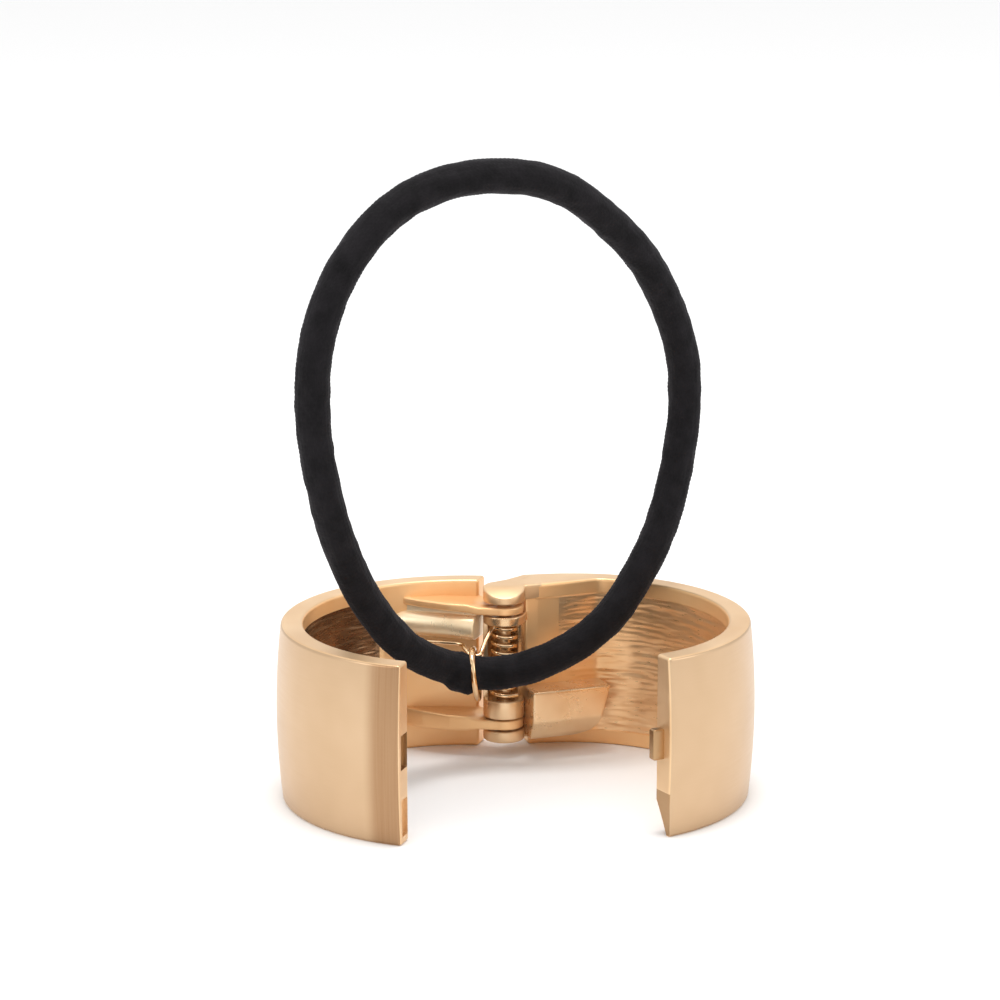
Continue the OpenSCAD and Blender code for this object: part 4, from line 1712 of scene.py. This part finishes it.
@dataclass
class Elastic:
    """The black elastic: a knitted tube in one closed loop, thicker where its ends are joined.

    Both kinds of fuzz are layers of noise.
    """

    knit: bpy.types.Material
    sizes: CuffSizes = CUFF
    thickness: float = 3.8 * MM
    route_steps: int = 24
    route_points: int = 1200
    line_step: int = 12
    wales: int = 22
    course: float = 0.5 * MM
    around: int = 88
    around_step: float = 0.14 * MM
    rings_a_course: int = 3
    wale_depth: float = 0.02 * MM
    stitch_depth: float = 0.06 * MM
    stitch_slant: float = 0.55
    fuzz: Layer = (0.03 * MM, 0.5 * MM, 0.3 * MM, 5)
    smooth: float = 2.0 * MM
    join_at: float = -1.7 * MM
    join_length: float = 1.5 * MM
    join_swell: float = 0.34 * MM
    join_sag: float = 0.22 * MM
    join_fuzz: Layer = (0.09 * MM, 0.35 * MM, 0.35 * MM, 9)

    def centreline(self) -> Points:
        """The closed curve through the route at even distances, in the shared frame.

        Its bends are smoothed by a bell curve on its waves, exp(-2 (pi f smooth) squared) at the rate f.

        Returns:
            Its points, rings_a_course for each course.
        """
        curve = evenly(catmull_rom(ELASTIC_ROUTE, self.route_steps, True), self.route_points)
        curve = curve + np.array([0, self.sizes.pin_y, 0])
        length = loop_length(curve)
        waves = np.fft.fftfreq(len(curve), length / len(curve))[:, None]
        bell = np.exp(-2 * (np.pi * waves * self.smooth) ** 2)
        curve = np.fft.ifft(np.fft.fft(curve, axis=0) * bell, axis=0).real
        return evenly(curve, int(round(length / self.course)) * self.rings_a_course)

    def noise(self, rings: int, length: float, layer: Layer) -> Points:
        """A noise layer on the cord's surface: its depth times streaks.

        Args:
            rings: number of rings along the cord.
            length: length of the cord.
            layer: the layer's depth, its size along and around, and the start of its noise.

        Returns:
            The noise, rings by points around.
        """
        depth, along, around, seed = layer
        steps = (length / rings, self.around_step)
        return depth * streaks((rings, self.around), steps, (along, around), seed)

    def knit_radius(self, rings: int, length: float) -> Points:
        """Radius of each point of the knitted surface.

        A wale is a ridge 1 - x squared across the cord. Its stitches are slanted legs: a cosine along the
        cord whose phase moves with the distance from the wale's middle, which gives the rows of small Vs. The
        join is a ragged lump exp(-(distance / length) to the fourth), which sags below the cord.

        Args:
            rings: number of rings along the cord.
            length: length of the cord.

        Returns:
            The radii, rings by points around.
        """
        ring, spot = np.arange(rings), np.arange(self.around)[None, :] / self.around
        offset = np.abs(2 * (spot * self.wales % 1) - 1)
        ridge = 1 - offset**2
        stitch = np.cos(2 * np.pi * ((ring / self.rings_a_course)[:, None] - self.stitch_slant * offset))
        base = self.thickness / 2 - self.wale_depth * 0.5
        radius = base + self.wale_depth * (ridge - 0.5) + self.stitch_depth * 0.5 * stitch
        radius = radius + self.noise(rings, length, self.fuzz)
        from_join = ring / rings * length - (length + self.join_at)
        from_join = (from_join + length / 2) % length - length / 2
        lump = np.exp(-((from_join / self.join_length) ** 4))[:, None]
        ragged = self.noise(rings, length, self.join_fuzz)
        return radius + lump * (self.join_swell + self.join_sag * np.cos(spot * 2 * np.pi) + ragged)

    def build(self) -> bpy.types.Object:
        """Returns:
            The elastic.
        """
        path = self.centreline()
        length = loop_length(path)
        surface = tube(path, self.knit_radius(len(path), length), np.array([1.0, -2.0, 0]), True)
        run = np.repeat(np.arange(len(path)) / len(path) * length, self.around)
        across = np.tile(np.arange(self.around) / self.around * np.pi * self.thickness, len(path))
        surface.flat_map = np.column_stack([across, run])
        elastic = surface.to_object("elastic", [self.knit], 180)
        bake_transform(elastic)
        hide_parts("elastic_loop")
        LOG.info("elastic: %.1f mm round", length / MM)
        return elastic


# ----------------------------------------
# Camera, light and floor


@dataclass(frozen=True)
class Softbox:
    """A soft light: its place, its width and height, and its power in watts."""

    name: str
    at: Triple
    size: Pair
    power: float

    def hang(self, target: Points) -> None:
        """Hangs the light so that it faces a target.

        Args:
            target: the point that it faces.
        """
        data = bpy.data.lights.new(self.name, "AREA")
        data.shape, data.energy = "RECTANGLE", self.power
        data.size, data.size_y = self.size
        light = bpy.data.objects.new(self.name, data)
        away = target - np.array(self.at)
        away /= np.linalg.norm(away)
        light.location = self.at
        light.rotation_euler = Euler((np.arccos(-away[2]), 0, np.arctan2(away[1], away[0]) - np.pi / 2))
        bpy.context.collection.objects.link(light)


@dataclass(frozen=True)
class Studio:
    """A pale floor, and soft light from the whole room, from both sides and from above."""

    camera_at: Triple = (-0.03628, -0.37277, 0.12075)
    azimuth: float = -5.3
    pitch: float = 13.15
    lens: float = 125.55
    sensor: float = 36.0
    clip: Pair = (0.01, 50.0)
    floor_grey: float = 0.93
    floor_reach: float = 3.0
    softboxes: tuple[Softbox, ...] = (
        Softbox("left_softbox", (-0.55, -0.25, 0.4), (0.25, 0.35), 0.6),
        Softbox("right_softbox", (0.6, -0.2, 0.35), (0.25, 0.35), 0.5),
        Softbox("top_softbox", (0, 0.0, 0.6), (0.2, 0.2), 1.6),
    )
    lit: Triple = (0, 0, 0.02)

    def place_camera(self) -> None:
        """Places the camera at the photograph's height, angle and distance."""
        data = bpy.data.cameras.new("camera")
        data.lens, data.sensor_width = self.lens, self.sensor
        data.clip_start, data.clip_end = self.clip
        camera = bpy.data.objects.new("camera", data)
        camera.location = self.camera_at
        camera.rotation_euler = Euler(np.radians([90 - self.pitch, 0, self.azimuth]))
        bpy.context.collection.objects.link(camera)
        bpy.context.scene.camera = camera

    def lay_floor(self) -> None:
        """Lays the floor."""
        grey, reach = self.floor_grey, self.floor_reach
        look = Sketch("floor").shaded(Base_Color=(grey, grey, grey, 1), Roughness=0.9, Specular_IOR_Level=0.1)
        points = reach * np.array([[-1, -1, 0], [1, -1, 0], [1, 1, 0], [-1, 1, 0]])
        floor = Surface(points, [np.array([[0, 1, 2, 3]])]).to_object("floor", [look])

    def light_room(self) -> None:
        """Lights the room: a white world and the softboxes."""
        world = bpy.data.worlds.new("room")
        bpy.context.scene.world = world
        world.use_nodes = True
        background = world.node_tree.nodes["Background"]
        background.inputs["Color"].default_value = (1, 1, 1, 1)
        background.inputs["Strength"].default_value = 1.0
        for softbox in self.softboxes:
            softbox.hang(np.array(self.lit))


def make_finishes() -> dict[str, bpy.types.Material]:
    """Makes the finishes.

    Returns:
        The materials, by the names that the pieces use.
    """
    satin = GoldFinish(
        "satin_gold", dark=(0.575, 0.395, 0.24), light=(0.62, 0.435, 0.272), roughness=(0.3, 0.4),
        stroke=(180.0, 9000.0, 1.0), stroke_depth=0.006 * MM, stroke_strength=0.35, waver_strength=0.03,
        on_map=True,
    )  # fmt: skip
    cast = GoldFinish(
        "cast_gold", dark=(0.78, 0.46, 0.22), light=(0.92, 0.63, 0.36), metallic=0.7, roughness=(0.26, 0.4),
        stroke=(700.0, 6000.0, 1.0), stroke_depth=0.014 * MM, stroke_strength=0.5, on_map=True,
    )  # fmt: skip
    bright = GoldFinish(
        "polished_gold", metallic=0.8, roughness=(0.24, 0.32), waver=200.0, waver_depth=0.02 * MM
    )
    finishes = {
        "right_satin": satin,
        # The left satin gets a painted dark reflection beside its front end.
        "left_satin": replace(satin, name="left_satin_gold_painted_reflection", painted_reflection_zone=(2.3 * MM, 4.3 * MM)),
        "right_cast": cast,
        # The left cast face is painted far darker than the right's, in dark patches: a painted dark
        # reflection.
        "left_cast": replace(
            cast, name="left_cast_gold_painted_reflection", dark=(0.07, 0.034, 0.017), light=(0.36, 0.2, 0.1), metallic=0.8,
            roughness=(0.22, 0.36),
        ),
        "rim": GoldFinish("rim_gold", metallic=0.85, roughness=(0.38, 0.46), waver_strength=0.06),
        "band": GoldFinish(
            "band_gold", dark=(0.88, 0.5, 0.22), light=(0.94, 0.6, 0.3), metallic=0.5, roughness=(0.34, 0.42),
            waver_strength=0.05,
        ),
        "bright": bright,
        # A lighter copy of the polished gold for the lug: painted light on the top that the upper ear shades.
        "pale": replace(
            bright, name="pale_gold_painted_light", dark=(0.94, 0.72, 0.45), light=(0.98, 0.82, 0.57), metallic=0.45,
        ),
        # A darker copy of the gold for the cut faces and the tab: painted shade.
        "painted_shade": GoldFinish(
            "painted_shade_gold", dark=(0.4, 0.24, 0.12), light=(0.46, 0.29, 0.15), roughness=(0.3, 0.4),
        ),
        "wire": GoldFinish("wire_gold", roughness=(0.08, 0.15), stroke=(900.0, 900.0, 900.0)),
        "knit": KnitFinish("black_knit"),
    }  # fmt: skip
    return {name: finish.material() for name, finish in finishes.items()}


def main() -> None:
    """Builds the scene: camera, elastic, spring, ring and pin first, then the halves, floor and light."""
    logging.basicConfig(level=logging.INFO, format="%(name)s: %(message)s")
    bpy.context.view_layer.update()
    bpy.context.scene.view_settings.view_transform = "Standard"
    studio = Studio()
    studio.place_camera()
    finishes = make_finishes()
    makers = [
        Elastic(finishes["knit"]),
        Spring(finishes["wire"]),
        JumpRing(finishes["wire"]),
        HingePin(finishes["bright"]),
        Wall(Side.LEFT, finishes),
        LeftHinge(Side.LEFT, finishes),
        Wall(Side.RIGHT, finishes),
        RightHinge(Side.RIGHT, finishes),
    ]
    for maker in makers:
        made = maker.build()
        for piece in made if isinstance(made, list) else [made]:
            LOG.info("%s: %d faces", piece.name, len(piece.data.polygons))
    studio.lay_floor()
    studio.light_room()


if __name__ == "__main__":
    main()
